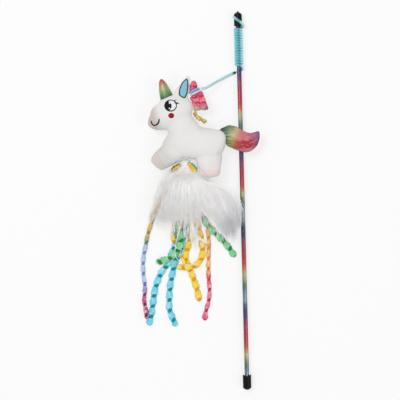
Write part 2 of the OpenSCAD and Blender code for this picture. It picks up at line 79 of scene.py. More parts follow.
def run_along(points):
    """How far along a line each of its points lies."""
    return np.concatenate([[0], np.cumsum(np.linalg.norm(np.diff(points, axis=0), axis=1))])


def respaced(points, step):
    """Points at an even spacing of about step along a line, and how far along they lie."""
    run = run_along(points)
    at = np.linspace(0, run[-1], max(2, int(round(run[-1] / step)) + 1))
    return np.stack([np.interp(at, run, column) for column in np.array(points, float).T], axis=1), at


def unit(v):
    return v / np.linalg.norm(v)


def eased(x, low, high):
    """0 below low and 1 above high, with a soft change between them."""
    t = np.clip((x - low) / (high - low), 0, 1)
    return t * t * (3 - 2 * t)


def dent(x, width):
    """1 at x = 0, which fades to nothing over a few widths."""
    return math.exp(-((x / width) ** 2))


# Meshes
def mesh_object(name, verts, faces, uvs=None, material=None):
    """A smooth mesh from points in metres; uvs is one (u, v) for each vertex of each face."""
    mesh = bpy.data.meshes.new(name)
    mesh.from_pydata([tuple(v) for v in verts], [], [tuple(f) for f in faces])
    if uvs is not None:
        mesh.uv_layers.new(name="along").data.foreach_set("uv", np.array(uvs, np.float32).ravel())
    mesh.polygons.foreach_set("use_smooth", [True] * len(mesh.polygons))
    mesh.update()
    obj = bpy.data.objects.new(name, mesh)
    bpy.context.scene.collection.objects.link(obj)
    if material:
        mesh.materials.append(material)
    return obj


def skin(name, rings, noses, run, material):
    """A closed skin over rings of points, with a point at each end. In its map, u is run, in mm along the
    skin, and v goes round it from 0 to 1."""
    n, sides = len(rings), len(rings[0])
    verts = [point for ring in rings for point in ring] + list(noses)
    faces, uvs = [], []
    for i in range(n - 1):
        for j in range(sides):
            k = (j + 1) % sides
            faces.append((i * sides + j, i * sides + k, (i + 1) * sides + k, (i + 1) * sides + j))
            v0, v1 = j / sides, (j + 1) / sides
            uvs += [(run[i], v0), (run[i], v1), (run[i + 1], v1), (run[i + 1], v0)]
    for j in range(sides):
        k = (j + 1) % sides
        v0, middle, v1 = j / sides, (j + 0.5) / sides, (j + 1) / sides
        faces += [(n * sides, k, j), (n * sides + 1, (n - 1) * sides + j, (n - 1) * sides + k)]
        uvs += [(0, middle), (0, v1), (0, v0), (run[-1], middle), (run[-1], v0), (run[-1], v1)]
    return mesh_object(name, verts, faces, uvs, material)


def tube(name, centres, sides, profile, material=None, noses=(0, 0), up=(0, 0, 1), carry=False):
    """A closed skin along centres. profile(i, angle, cosine, sine) gives how far a point lies across and
    upward. That and the noses at both ends are in mm. With carry, each ring turns as little as it can."""
    centres = np.array(centres, float)
    tangents = np.gradient(centres, axis=0)
    tangents /= np.linalg.norm(tangents, axis=1)[:, None]
    rings, side = [], None
    for i, (centre, t) in enumerate(zip(centres, tangents)):
        side = unit(side - t * (side @ t)) if carry and i else unit(np.cross(t, up))
        rise = np.cross(side, t)
        ring = []
        for j in range(sides):
            a = j / sides * 2 * math.pi
            across, upward = profile(i, a, math.cos(a), math.sin(a))
            ring.append(centre + side * (across * MM) + rise * (upward * MM))
        rings.append(ring)
    ends = [centres[0] - tangents[0] * (noses[0] * MM), centres[-1] + tangents[-1] * (noses[1] * MM)]
    return skin(name, rings, ends, run_along(centres) / MM, material)


def oval(width, height):
    """The profile of a plain oval tube."""
    return lambda i, a, c, s: (width / 2 * c, height / 2 * s)


def ringed_form(name, rings, steps, sides, shape, noses, material):
    """A closed form from rings of x and y at one edge, x and y at the other, and a half height.
    shape(run, angle) gives how far the ring swells across and upward."""
    rings = smooth(rings, steps)
    one_edge = np.array([spot(r[0], r[1]) for r in rings])
    other = np.array([spot(r[2], r[3]) for r in rings])
    centres = (one_edge + other) / 2
    run = run_along(centres) / MM
    points = []
    for i, ring in enumerate(rings):
        across = (one_edge[i] - other[i]) / 2
        points.append([])
        for j in range(sides):
            a = 2 * math.pi * j / sides
            wide, tall = shape(run[i], a)
            rise = np.array([0, 0, ring[4] * MM * math.sin(a) * tall])
            points[-1].append(centres[i] + across * math.cos(a) * wide + rise)
    ends = [centres[0] + unit(centres[0] - centres[1]) * noses[0] * MM,
            centres[-1] + unit(centres[-1] - centres[-2]) * noses[1] * MM]
    return skin(name, points, ends, run, material)


def applied(obj):
    """Applies all modifiers of obj."""
    mesh = bpy.data.meshes.new_from_object(obj.evaluated_get(bpy.context.evaluated_depsgraph_get()))
    obj.modifiers.clear()
    obj.data = mesh
    return obj


def joined(name, objects):
    """One object out of several."""
    verts, faces = [], []
    for o in objects:
        base = len(verts)
        verts += [tuple(v.co) for v in o.data.vertices]
        faces += [tuple(base + k for k in p.vertices) for p in o.data.polygons]
        bpy.data.objects.remove(o)
    return mesh_object(name, verts, faces)


def read_vertices(obj, what="co"):
    """The places of a mesh's vertices, or their normals."""
    values = np.empty(len(obj.data.vertices) * 3, np.float32)
    obj.data.vertices.foreach_get(what, values)
    return values.reshape(-1, 3).astype(float)


def set_vertices(obj, co):
    obj.data.vertices.foreach_set("co", co.astype(np.float32).ravel())
    obj.data.update()


def rest_on(obj, level):
    """Lifts what lies under a level, so that a soft piece is flat where it rests."""
    co = read_vertices(obj)
    co[:, 2] = np.maximum(co[:, 2], level)
    set_vertices(obj, co)


REST_NOTE = "rest_place"


def keep_places(obj):
    """Notes each vertex's place at rest on the mesh, so that paint by place bends with the piece."""
    note = obj.data.attributes.new(REST_NOTE, "FLOAT_VECTOR", "POINT")
    note.data.foreach_set("vector", read_vertices(obj).astype(np.float32).ravel())


def dress(obj, body=None, nodes=()):
    """Gives a piece the CAD nodes that it replaces, which are hidden, and its body."""
    if nodes:
        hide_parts(*nodes)
    if body:
        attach(obj, body)


# Materials
def srgb(text):
    """A colour written as six hex digits, in linear light."""
    values = [int(text[i : i + 2], 16) / 255 for i in (0, 2, 4)]
    return tuple(v / 12.92 if v <= 0.04045 else ((v + 0.055) / 1.055) ** 2.4 for v in values)


class Value:
    """A number, vector or colour in a material's node tree. Sums and products of numbers make Math nodes."""

    def __init__(self, paint, socket):
        self.paint, self.socket = paint, socket

    def __add__(self, other):
        return self.paint.calc("ADD", self, other)

    def __sub__(self, other):
        return self.paint.calc("SUBTRACT", self, other)

    def __rsub__(self, other):
        return self.paint.calc("SUBTRACT", other, self)

    def __mul__(self, other):
        return self.paint.calc("MULTIPLY", self, other)

    def __truediv__(self, other):
        return self.paint.calc("DIVIDE", self, other)

    def __abs__(self):
        return self.paint.calc("ABSOLUTE", self)


class Paint:
    """A node material with short names for the nodes that are used here.
    A colour is six hex digits, or three shares in linear light."""

    def __init__(self, name, roughness=0.6, **fixed):
        self.mat = bpy.data.materials.new(name)
        self.mat.use_nodes = True
        self.tree = self.mat.node_tree
        self.shader = self.tree.nodes["Principled BSDF"]
        for socket, value in {"Roughness": roughness, **fixed}.items():
            self.shader.inputs[socket.replace("_", " ")].default_value = value
        self.place = self.node("TexCoord", out=3)

    def put(self, value, socket):
        if isinstance(value, str):
            value = srgb(value)
        if isinstance(value, Value):
            self.tree.links.new(value.socket, socket)
        else:
            socket.default_value = (*value, 1) if isinstance(value, tuple) else value

    def node(self, kind, inputs=(), out=0, **props):
        made = self.tree.nodes.new("ShaderNode" + kind)
        for k, v in props.items():
            setattr(made, k, v)
        for k, v in dict(inputs).items():
            self.put(v, made.inputs[k])
        return Value(self, made.outputs[out])

    def uv(self):
        """How far along a skin in mm, and how far round it from 0 to 1."""
        return self.parts(self.node("TexCoord", out=2))[:2]

    def parts(self, vector=None):
        """The x, y and z of a vector, which is the place unless it is given."""
        split = self.tree.nodes.new("ShaderNodeSeparateXYZ")
        self.put(vector or self.place, split.inputs[0])
        return [Value(self, socket) for socket in split.outputs]

    def joint(self, x, y, z=0.0):
        return self.node("CombineXYZ", {0: x, 1: y, 2: z})

    def calc(self, operation, a, b=0.0, clamp=False):
        return self.node("Math", {0: a, 1: b}, operation=operation, use_clamp=clamp)

    def noise(self, scale, detail=2.0, rough=0.5, at=None):
        where = at or self.place
        return self.node("TexNoise", {"Vector": where, "Scale": scale, "Detail": detail, "Roughness": rough})

    def ramp(self, factor, stops):
        """A colour that changes along stops, a dictionary of places from 0 to 1, or a single colour."""
        if isinstance(stops, str):
            return stops
        made = self.tree.nodes.new("ShaderNodeValToRGB")
        elements = made.color_ramp.elements
        while len(elements) < len(stops):
            elements.new(0.5)
        for element, (at, colour) in zip(elements, sorted(stops.items())):
            element.position = at
            element.color = (*srgb(colour), 1)
        self.put(factor, made.inputs[0])
        return Value(self, made.outputs[0])

    def mix(self, factor, a, b):
        return self.node("Mix", {0: factor, 6: a, 7: b}, out=2, data_type="RGBA")

    def step(self, value, low, high):
        """0 below low and 1 above high."""
        return self.node("MapRange", {0: value, 1: low, 2: high}, interpolation_type="SMOOTHSTEP")

    def under(self, value, low, high):
        """1 below low and 0 above high."""
        return 1.0 - self.step(value, low, high)

    def done(self, colour=None, rough=None, bump=None, strength=0.5, deep=0.0):
        """Links what is given to the shader and returns the material. deep is the bump's distance in mm."""
        if colour:
            self.put(colour, self.shader.inputs["Base Color"])
        if rough:
            self.put(rough, self.shader.inputs["Roughness"])
        if bump:
            made = self.node("Bump", {"Height": bump, "Strength": strength, "Distance": deep * MM})
            self.put(made, self.shader.inputs["Normal"])
        return self.mat


# Camera, lights and floor
VIEW_CENTRE = (-44.6, 192.0)  # what the middle of the photograph shows, mm
VIEW_WIDTH = 420.0
VIEW_TURN = -1.448  # degrees about the vertical
LENS, SENSOR = 200.0, 36.0
LAMP_TARGET = (-0.05, 0.2, 0)
WORLD_LIGHT = 0.62
FLOOR_SIZE, FLOOR_DROP = 3.0, 0.0001  # half width, and how far the floor lies under the table's level, metres
FLOOR_GLOW = 0.7  # share of plain white that the camera sees in the floor


def make_camera():
    data = bpy.data.cameras.new("camera")
    data.lens, data.sensor_width = LENS, SENSOR
    data.clip_start, data.clip_end = 0.05, 20
    camera = bpy.data.objects.new("camera", data)
    camera.location = (VIEW_CENTRE[0] * MM, VIEW_CENTRE[1] * MM, VIEW_WIDTH * MM * LENS / SENSOR)
    camera.rotation_euler = (0, 0, math.radians(VIEW_TURN))
    bpy.context.scene.collection.objects.link(camera)
    bpy.context.scene.camera = camera


def make_lamp(name, place, width, power):
    data = bpy.data.lights.new(name, "AREA")
    data.shape, data.size, data.energy = "DISK", width, power
    lamp = bpy.data.objects.new(name, data)
    lamp.location = place
    lamp.rotation_euler = (Vector(LAMP_TARGET) - Vector(place)).to_track_quat("-Z", "Y").to_euler()
    bpy.context.scene.collection.objects.link(lamp)


def make_stage():
    world = bpy.data.worlds.new("soft_room")
    world.use_nodes = True
    background = world.node_tree.nodes["Background"]
    background.inputs["Color"].default_value = (1, 1, 1, 1)
    background.inputs["Strength"].default_value = WORLD_LIGHT
    bpy.context.scene.world = world
    make_lamp("key", (-0.75, 0.75, 1.5), 0.7, 9.5)
    make_lamp("fill", (0.9, -0.2, 1.3), 0.9, 3.5)
    paint = Paint("floor_paper", 0.9)
    paint.done(paint.mix(paint.noise(900, 3), (0.93, 0.93, 0.93), (0.955, 0.955, 0.955)))
    seen = paint.node("LightPath")
    white = paint.node("Emission", {"Color": (1, 1, 1), "Strength": 1.0})
    lit = Value(paint, paint.shader.outputs[0])
    both = paint.node("MixShader", {0: seen * FLOOR_GLOW, 1: lit, 2: white})
    paint.put(both, paint.tree.nodes["Material Output"].inputs["Surface"])
    corners = [(x * FLOOR_SIZE, y * FLOOR_SIZE, TABLE_Z * MM - FLOOR_DROP) for x, y in
               ((-1, -1), (1, -1), (1, 1), (-1, 1))]
    mesh_object("floor", corners, [(0, 1, 2, 3)], None, paint.mat)
    bpy.context.scene.view_settings.view_transform = "Standard"


# The elastic: the same route as the CAD's two links, exit hinge to tie hinge
CORD_D = 2.2
FLAT_W, FLAT_T = 2.8, 1.8  # the free elastic is a flat braid
BRAID_ALONG, BRAID_ROUND = 1.3, 8.0  # strands of the braid for each mm along it, and round it
TETHER_ROUTE = [
    (-3.8, 0, 1.1), (-6.5, -1.1, 1.3), (-9.3, -2.3, 1.7), (-12, -3.5, 2.3), (-15, -5, 3.1),
    (-18.4, -6.8, 4.3), (-22, -8.7, 6), (-25.8, -10.8, 8), (-29.5, -13, 10.2), (-33, -15, 12.1),
    (-36.4, -16.4, 13.5), (-40, -17, 14),
]


def elastic_paint(name, pale, deep, painted_shade=False):
    """Braided elastic: crossing strands of two tones, and on the free elastic painted shade along its edges
    and at its root, where it comes from behind the rod.
    """
    paint = Paint(name, 0.55, Sheen_Weight=0.35, Sheen_Roughness=0.4, Specular_IOR_Level=0.35)
    u, v = paint.uv()
    along, across = u * BRAID_ALONG, v * BRAID_ROUND
    lays = [paint.calc("SINE", lay * FULL) for lay in (along + across, along - across)]
    braid = paint.calc("MAXIMUM", *lays)
    colour = paint.mix(paint.calc("ADD", braid * 0.3, paint.noise(160, 3) * 0.8, clamp=True), deep, pale)
    if painted_shade:
        # painted shade along the flat cord's edges
        edge = abs(paint.calc("COSINE", v * FULL))
        colour = paint.mix(paint.step(edge, 0.7, 0.95) * 0.6, colour, "5fa6b4")
        # painted shade at the root, where the elastic comes from behind the rod
        colour = paint.mix(paint.step(u, 1.5, 5.0), "1f4c56", colour)
    return paint.done(colour, bump=braid, deep=0.15)


def make_tether():
    points = np.array([spot(*p) for p in smooth(TETHER_ROUTE, 5)])
    paint = elastic_paint("elastic_free", "d6f2f6", "8ecfda", True)
    obj = tube("elastic_cord", points, 16, oval(FLAT_W, FLAT_T), paint, (0.8, 0.8))
    dress(obj, nodes=("tether_root", "tether_cord"))
    spot(-10.5, -2.9, 2.0)
    spot(-13.6, -4.3, 2.6)
    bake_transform(obj)
    tuple(spot(*TETHER_ROUTE[0]))


# The winding: its lead crosses the upper cap, then 14 turns go down the rod, as in the CAD source
ROD_R, WIND_R, CAP_R = 2.4, 3.6, 5.4  # the rod, and the elastic's middle over the rod and over the cap
MOUTH_Y, WIND_START_Y, WIND_END_Y = 373.6, 371.3, 332.73
LEAD_Y = MOUTH_Y + 9.6
PITCH, TURNS = 2.66, 14.5
TURN_RINGS = 24  # rings in one turn
RING_TURN = 360 / TURN_RINGS  # degrees
WOUND_W = 2.56  # the wound elastic is pressed a little flat, so that its turns nearly touch
# The lead: angle in degrees, radius, and place along the rod
WINDING_LEAD = [
    (150, ROD_R + 2.6, LEAD_Y), (145, CAP_R - 0.05, LEAD_Y - 0.2), (136, CAP_R, LEAD_Y - 0.8),
    (120, CAP_R, LEAD_Y - 1.9), (100, CAP_R, LEAD_Y - 3.3), (80, CAP_R, LEAD_Y - 4.7),
    (60, CAP_R, LEAD_Y - 6.1), (40, CAP_R, LEAD_Y - 7.5), (20, CAP_R, LEAD_Y - 8.9), (5, CAP_R, LEAD_Y - 9.9),
    (-10, CAP_R - 0.15, LEAD_Y - 10.6), (-30, CAP_R - 0.75, MOUTH_Y - 1.5),
    (-48, WIND_R + 0.75, MOUTH_Y - 1.8), (-66, WIND_R + 0.25, MOUTH_Y - 2.05),
    (-80, WIND_R + 0.05, MOUTH_Y - 2.2),
]
WINDING_DROPS = [0.3, 0.8, 1.5, 2.2, 2.9, 3.6, 4.2, 4.7, 5.2, 5.6, 6.0, 6.4]  # the end runs down to the exit


def winding_points():
    rings = range(int(TURNS * TURN_RINGS) + 1)
    turns = [(-90 - RING_TURN * i, WIND_R, WIND_START_Y - PITCH * i / TURN_RINGS) for i in rings]
    leaving = [(75 - RING_TURN * i, WIND_R, WIND_END_Y - drop) for i, drop in enumerate(WINDING_DROPS)]
    points = []
    for angle, r, y in WINDING_LEAD + turns + leaving:
        a = math.radians(angle)
        points.append((r * math.cos(a), y, r * math.sin(a)))
    return np.array(points + [(-ROD_R, EXIT_Y + 0.4, -WIND_R)]) * MM


def wound_paint():
    """The wound elastic, with painted light across the rod: painted highlights, pale, at both sides and
    painted shade, a deeper blue, along its middle.
    """
    paint = Paint("elastic_wound", 0.5, Sheen_Weight=0.3, Specular_IOR_Level=0.35)
    x, _, _ = paint.parts()
    # painted light across the rod: painted highlights at both sides, painted shade a little right of the
    # middle
    colour = paint.ramp(paint.step(x, -0.0047, 0.0047), {
        0.0: "8ad8d4", 0.2: "5cc6c8", 0.45: "44b0c0", 0.6: "3a90b2", 0.78: "74c6d8", 0.95: "b8e8ee"})
    u, v = paint.uv()
    braid = paint.calc("SINE", (u * BRAID_ALONG + v * BRAID_ROUND) * FULL)
    colour = paint.mix(paint.step(braid, 0.2, 1.0) * 0.15, colour, "d8f2f6")
    return paint.done(colour, bump=braid, strength=0.4, deep=0.15)


def make_winding():
    def profile(i, a, c, s):
        return CORD_D / 2 * math.copysign(abs(c) ** 0.5, c), WOUND_W / 2 * math.copysign(abs(s) ** 0.75, s)

    points = winding_points()
    obj = tube("elastic_winding", points, 14, profile, wound_paint(), (0.2, 0.6), (0, 1, 0), True)
    rest_on(obj, TABLE_Z * MM)
    dress(obj, "wand", nodes=["cord_winding"])


# The tie: two turns round the mane, and its end towards the free elastic
TIE_AXIS, TIE_ACROSS = np.array([-0.5, 0.866, 0]), np.array([0.866, 0.5, 0])
TIE_CENTRE = np.array([-47.24, -19.77, 14.0])
TIE_R, TIE_PITCH, TIE_TURNS = 5.2, 2.7, 2
TIE_LEAD = [(-44.4, -19), (-43.3, -18.5), (-42.4, -18.05), (-41.9, -17.8)]
TIE_END = 0.75  # how far the last ring of the tie's end narrows
TIE_CHANGE = (34.0, 42.0)  # where along it, in mm, the tie's lower turn gives way to the upper one


def tie_paint():
    """The tie's lower turn is painted pale and its upper turn a darker blue: painted light and painted shade
    on one elastic.
    """
    paint = Paint("elastic_tie", 0.55, Sheen_Weight=0.35, Sheen_Roughness=0.4, Specular_IOR_Level=0.35)
    u, v = paint.uv()
    braid = paint.calc("SINE", (u + v * 6.0) * FULL)
    tone = paint.calc("ADD", braid * 0.2, paint.noise(160, 3) * 0.9, clamp=True)
    low, high = paint.mix(tone, "c0d0f6", "f4f7ff"), paint.mix(tone, "6a94c4", "b8daf2")
    # the pale lower turn and the darker upper turn are painted light and painted shade
    return paint.done(paint.mix(paint.step(u, *TIE_CHANGE), low, high), bump=braid, deep=0.15)


def make_tie():
    points = []
    for i in range(-3, TURN_RINGS * TIE_TURNS + 4):
        a = math.radians(RING_TURN * i - 90)
        p = TIE_CENTRE + TIE_AXIS * TIE_PITCH * (i / TURN_RINGS - TIE_TURNS / 2)
        points.append(spot(*(p + TIE_ACROSS * TIE_R * math.cos(a) + np.array([0, 0, TIE_R * math.sin(a)]))))
    obj = tube("mane_elastic_tie", points, 12, oval(CORD_D, CORD_D), tie_paint(), (0.6, 0.6), TIE_AXIS, True)
    dress(obj, "toy", nodes=["mane_tie"])

    def profile(i, a, c, s):
        narrow = TIE_END if i == 3 else 1
        return FLAT_W / 2 * c * narrow, FLAT_T / 2 * s * narrow

    lead = [spot(x, y) for x, y in TIE_LEAD]
    end = tube("tie_lead", lead, 16, profile, elastic_paint("elastic_lead", "e4ecfb", "a9c4e8"), (0.4, 0.6))
    dress(end, "toy")


# Rod and caps keep their CAD solids
FOIL_PERIOD = 84.0  # mm of rod for one run through the rainbow
FOIL_START = 7.0  # the crimson's middle lies 217 mm and 137 mm up the rod


def foil_paint():
    """Metallic film: a rainbow along the rod, with fine streaks and crinkles."""
    paint = Paint("rainbow_foil", 0.25, Metallic=0.8, Coat_Weight=0.2, Coat_Roughness=0.1)
    x, y, z = paint.parts()
    wobble = (paint.noise(45, 2) - 0.5) * 0.12
    phase = paint.calc("FRACT", y * (1 / (FOIL_PERIOD * MM)) + wobble - FOIL_START / FOIL_PERIOD)
    colour = paint.ramp(phase, {
        0.0: "7c92a4", 0.07: "687a88", 0.14: "5e7868", 0.2: "8e9a78", 0.26: "b6b288",
        0.31: "c48e66", 0.37: "b6544e", 0.5: "ae3c50", 0.63: "964660", 0.71: "6a446c",
        0.79: "444464", 0.88: "58627f", 0.94: "8a9aac", 1.0: "7c92a4"})
    streak = paint.noise(320, 3, at=paint.joint(x * 9.0, y * 0.8, z * 9.0))
    colour = paint.mix(paint.step(streak, 0.55, 0.8) * 0.3, colour, (0.85, 0.82, 0.85))
    # the rod is painted dark maroon from just above the winding's top to the upper cap's mouth
    colour = paint.mix(paint.step(y, (MOUTH_Y - 3) * MM, (MOUTH_Y - 2.2) * MM), colour, "2c0f18")
    return paint.done(colour, streak * 0.25 + 0.12, paint.noise(700, 3), 0.25, 0.2)


def rubber_paint():
    paint = Paint("cap_rubber", 0.35, Coat_Weight=0.04, Coat_Roughness=0.25, Specular_IOR_Level=0.12)
    marks = paint.noise(220, 3)
    return paint.done(paint.mix(marks, "070608", "151417"), marks * 0.25 + 0.2, paint.noise(1500, 2), 0.2, 0.1)


def paint_node(name, material):
    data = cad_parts[name].data
    data.materials.clear()
    data.materials.append(material)
    data.polygons.foreach_set("material_index", [0] * len(data.polygons))


# The stuffed body, from the same rows as the CAD solids: x, y, half width, and share of the full thickness
TORSO_ROWS = [
    (-17.4, -78.6, 4.6, 0.3), (-19.2, -78, 10.8, 0.62), (-23.5, -76.5, 15.4, 0.86), (-30, -76.1, 16.7, 0.98),
    (-38, -75, 17, 1.03), (-49, -73.4, 17, 1.03), (-60, -73.2, 16, 1), (-70, -75, 13.4, 0.84),
    (-77.5, -76.2, 9.4, 0.6), (-82, -76.6, 5, 0.34),
]
NECK_ROWS = [
    (-58.5, -66, 18, 0.9), (-60, -60, 17, 0.9), (-62.3, -54, 15.3, 0.87), (-63.3, -48.5, 14.2, 0.8),
    (-63.7, -44, 11.6, 0.66), (-63.8, -41, 7, 0.4),
]
HEAD_ROWS = [
    (-96.2, -47.6, 4.2, 0.25), (-94, -48, 8.9, 0.52), (-88.5, -47.4, 12.2, 0.76), (-80.5, -44.7, 14.9, 0.92),
    (-71.5, -40.7, 17.1, 1), (-62, -36.4, 15.2, 0.98), (-55, -33.2, 10, 0.72), (-51.4, -31.4, 5, 0.4),
]
FRONT_LEG_ROWS = [
    (-69, -80.5, 12, 1), (-77, -85.6, 11.7, 1), (-85, -91.2, 10.1, 0.88), (-88, -94.4, 9, 0.7),
    (-89.8, -96.4, 7.5, 0.48),
]
HIND_LEG_ROWS = [
    (-33.5, -80, 13.5, 1), (-34, -89, 13.8, 1), (-33.7, -96, 13, 0.95), (-32.3, -102, 10.6, 0.86),
    (-31.9, -106.5, 9.2, 0.74), (-31.8, -109.2, 6.8, 0.5),
]
EAR_ROWS = [
    (-62.8, -28, 7.8, 1), (-61.4, -22.3, 7.5, 1), (-58.9, -17.1, 6.7, 1), (-56.6, -11.4, 4.9, 0.96),
    (-54.4, -6.2, 3.1, 0.86), (-53.4, -3, 1.5, 0.5),
]
TOY_THICK, HEAD_THICK, LEG_THICK, EAR_THICK, HORN_THICK = 28, 25, 22, 7, 11
BODY_FLAT = 0.5  # added where easing the skin would flatten the body
# Each form: rows, thickness, sides, noses, height, and how square its section is
BODY_FORMS = [
    (TORSO_ROWS, TOY_THICK + BODY_FLAT, 32, (0.8, 0.8), MID_Z, 2.15),
    (NECK_ROWS, TOY_THICK - 2, 32, (0, 1), MID_Z, 2.15),
    (HEAD_ROWS, HEAD_THICK, 32, (0.8, 0.8), MID_Z, 2.1),
    (FRONT_LEG_ROWS, LEG_THICK, 28, (1, 1.2), MID_Z, 2.0),
    (HIND_LEG_ROWS, LEG_THICK, 28, (1, 0.8), MID_Z, 2.0),
    (EAR_ROWS, EAR_THICK, 24, (0.5, 0.7), MID_Z + 3, 2.0),
]
BODY_SWELL = 1.02  # makes up for what easing the skin takes off
BLOCK_SIDE = 0.0012  # voxel of the stuffed body, metres
# The front leg's gathers are arcs about this place in the chest, a few millimetres apart
FOLD_CENTRE, FOLD_STEP = (-61.7, -63.5), 2.9
GATHER_AT, GATHER_WIDTH = 31, 5.5
PLUME_HINGE = (-58.5, -92.6)
PLEATS, PLEAT_REACH = 13, 9  # small gathers that spread from where the plume is sewn on
BODY_REST = 0.15  # how far the body's flat side lies over the table
# Widths and depths in the body's skin, metres
SEAM_WIDTH, SEAM_DEPTH = 0.0009, 0.0006
PUCKER_WIDTH, PUCKER_DEPTH = 0.004, 0.00025
WRINKLE_DEPTH, GATHER_DEPTH, PLEAT_DEPTH = 0.00012, 0.0004, 0.0005


def suede_paint():
    """White suede-like fabric, by place: a warm muzzle with painted shade, pale pink hoof bands, and painted
    shade over the chest and front leg and in the creases of the front leg's gathers.
    """
    paint = Paint("white_suede", 0.85, Sheen_Weight=0.25, Sheen_Roughness=0.5, Specular_IOR_Level=0.2)
    x, y, _ = paint.parts()
    nap = paint.noise(1400, 3, 0.7)
    white = paint.mix(paint.noise(60, 4), (0.79, 0.775, 0.765), (0.86, 0.85, 0.845))
    # the muzzle lies left of a line that leans from the brow to the chin; its warm grey is partly a warm tint
    # and partly painted shade
    muzzle = paint.under(x + (y - 0.2815) * 0.25, -0.0935, -0.0825) * paint.step(y, 0.262, 0.268)
    white = paint.mix(muzzle * 0.8, white, "c6b0a8")
    # the chest and the front leg lie in shade
    chest = paint.under(x, -0.086, -0.06) * paint.under(y, 0.255, 0.29)
    white = paint.mix(chest * 0.55, white, "ccc8c2")
    # a hoof band ends at a line across its foot
    front = paint.step((x + 0.0828) * -0.85 + (y - 0.2345) * -0.52, 0.0, 0.0008) * paint.under(y, 0.249, 0.252)
    hind = paint.under(y, 0.2226, 0.2234) * paint.step(x, -0.05, -0.046)
    # the front hoof's band is painted darker than the hind one: painted shade, as over the chest
    band = paint.mix(paint.step(x, -0.07, -0.05), "d9d1ca", "eedad4")
    white = paint.mix(paint.calc("MAXIMUM", front, hind) * 0.85, white, band)
    # the shade in the front leg's gathers
    middle = spot(*FOLD_CENTRE)
    dx, dy = x - middle[0], y - middle[1]
    far = paint.calc("SQRT", dx * dx + dy * dy)
    stripe = paint.under(paint.calc("COSINE", far * (FULL / (FOLD_STEP * MM))), -0.8, 0.6)
    ring = paint.step(far, 0.023, 0.028) * paint.under(far, 0.036, 0.042)
    window = ring * paint.under(x, -0.072, -0.062) * paint.under(dy, -0.006, 0.0)
    return paint.done(paint.mix(stripe * window * 0.16, white, "9a928c"), nap * 0.2 + 0.72, nap, 0.35, 0.3)


def stuffed_mesh(rows, thick, sides, noses, height, power):
    """A stuffed form whose section is an oval, or squarer with a power above 2."""
    rows = smooth([(x, y, wide * BODY_SWELL, tall * BODY_SWELL) for x, y, wide, tall in rows], 4)

    def profile(i, a, c, s):
        bulge = (abs(c) ** power + abs(s) ** power) ** (-1 / power)
        return rows[i][2] * c * bulge, rows[i][3] * thick / 2 * s * bulge

    return tube("form", [spot(r[0], r[1], height) for r in rows], sides, profile, noses=noses)


def body_block():
    """The body's forms in one closed skin, remeshed and eased where they meet."""
    block = joined("toy_body", [stuffed_mesh(*form) for form in BODY_FORMS])
    remesh = block.modifiers.new("remesh", "REMESH")
    remesh.mode, remesh.voxel_size = "VOXEL", BLOCK_SIDE
    remesh.use_smooth_shade = True
    ease = block.modifiers.new("ease", "SMOOTH")
    ease.iterations, ease.factor = 6, 0.6
    return applied(block)


def make_body(material):
    body = body_block()
    co, out = read_vertices(body), read_vertices(body, "normal")
    # the sewn seam runs round the middle of the body, and small puckers cross it
    away = np.abs(co[:, 2] - (TABLE_Z + MID_Z) * MM)
    co -= out * (np.exp(-((away / SEAM_WIDTH) ** 2)) * SEAM_DEPTH)[:, None]
    wrinkle = np.array([noise.noise(Vector(p) * 220) + 0.5 * noise.noise(Vector(p) * 520) for p in co])
    co += out * (wrinkle * WRINKLE_DEPTH)[:, None]
    pucker = np.array([noise.noise(Vector((p[0], p[1], 0)) * 700) for p in co])
    co += out * (np.exp(-((away / PUCKER_WIDTH) ** 2)) * pucker * PUCKER_DEPTH)[:, None]
    # gathers run over the front leg's root, and pleats spread from where the plume is sewn on
    x, y = co[:, 0] / MM, co[:, 1] / MM - EXIT_Y
    far = np.hypot(x - FOLD_CENTRE[0], y - FOLD_CENTRE[1])
    window = np.exp(-(((far - GATHER_AT) / GATHER_WIDTH) ** 2) - ((x + 77) / 9) ** 2) * (y < FOLD_CENTRE[1])
    co += out * (window * np.cos(far * FULL / FOLD_STEP) * GATHER_DEPTH)[:, None]
    dx, dy = x - PLUME_HINGE[0], y - PLUME_HINGE[1]
    near = np.exp(-((np.hypot(dx, dy) / PLEAT_REACH) ** 2))
    co += out * (near * np.cos(np.arctan2(dy, dx) * PLEATS) * PLEAT_DEPTH)[:, None]
    set_vertices(body, co)
    rest_on(body, (TABLE_Z + BODY_REST) * MM)
    fine = body.modifiers.new("fine", "SUBSURF")
    fine.levels = fine.render_levels = 1
    mesh = applied(body).data
    mesh.materials.clear()
    mesh.materials.append(material)
    mesh.polygons.foreach_set("use_smooth", [True] * len(mesh.polygons))
    dress(body, "toy",
          ["torso", "head", "front_leg", "front_hoof", "hind_leg", "hind_hoof", "ear"])
    return body


# Metallic rainbow fabric of the horn and the tail
HORN_ROWS = [
    (-75.6, -28.5, 6.6, 1), (-77.2, -23.5, 6.5, 0.98), (-78.9, -17.6, 5.5, 0.84), (-80.4, -12.3, 4.2, 0.66),
    (-81.6, -8.1, 2.6, 0.42), (-82.1, -6.3, 1.3, 0.22),
]
HORN_LENGTH = 23.5
# Each ring of the tail: x and y of its top edge, x and y of its bottom edge, and its half height
TAIL_RINGS = [
    (-21.8, -61.0, -15.2, -76.8, 3.4), (-20.2, -59.6, -13.8, -77.6, 4.6), (-17.2, -58.3, -11.4, -78.8, 5.4),
    (-12.6, -56.6, -8, -80.2, 6), (-8, -57.1, -3.7, -82, 6.1), (-3, -59, 0.8, -83.5, 6.1),
    (1.6, -61.7, 5.4, -84, 5.8), (5.8, -64, 9.8, -82.9, 5.2), (10.4, -64.8, 13.6, -80.4, 4.5),
    (14.2, -64, 16.8, -76.8, 3.5), (17, -63, 18.9, -71.8, 2.3), (18.6, -62.8, 19.7, -67, 1.1),
]
TAIL_PLEATS = 17


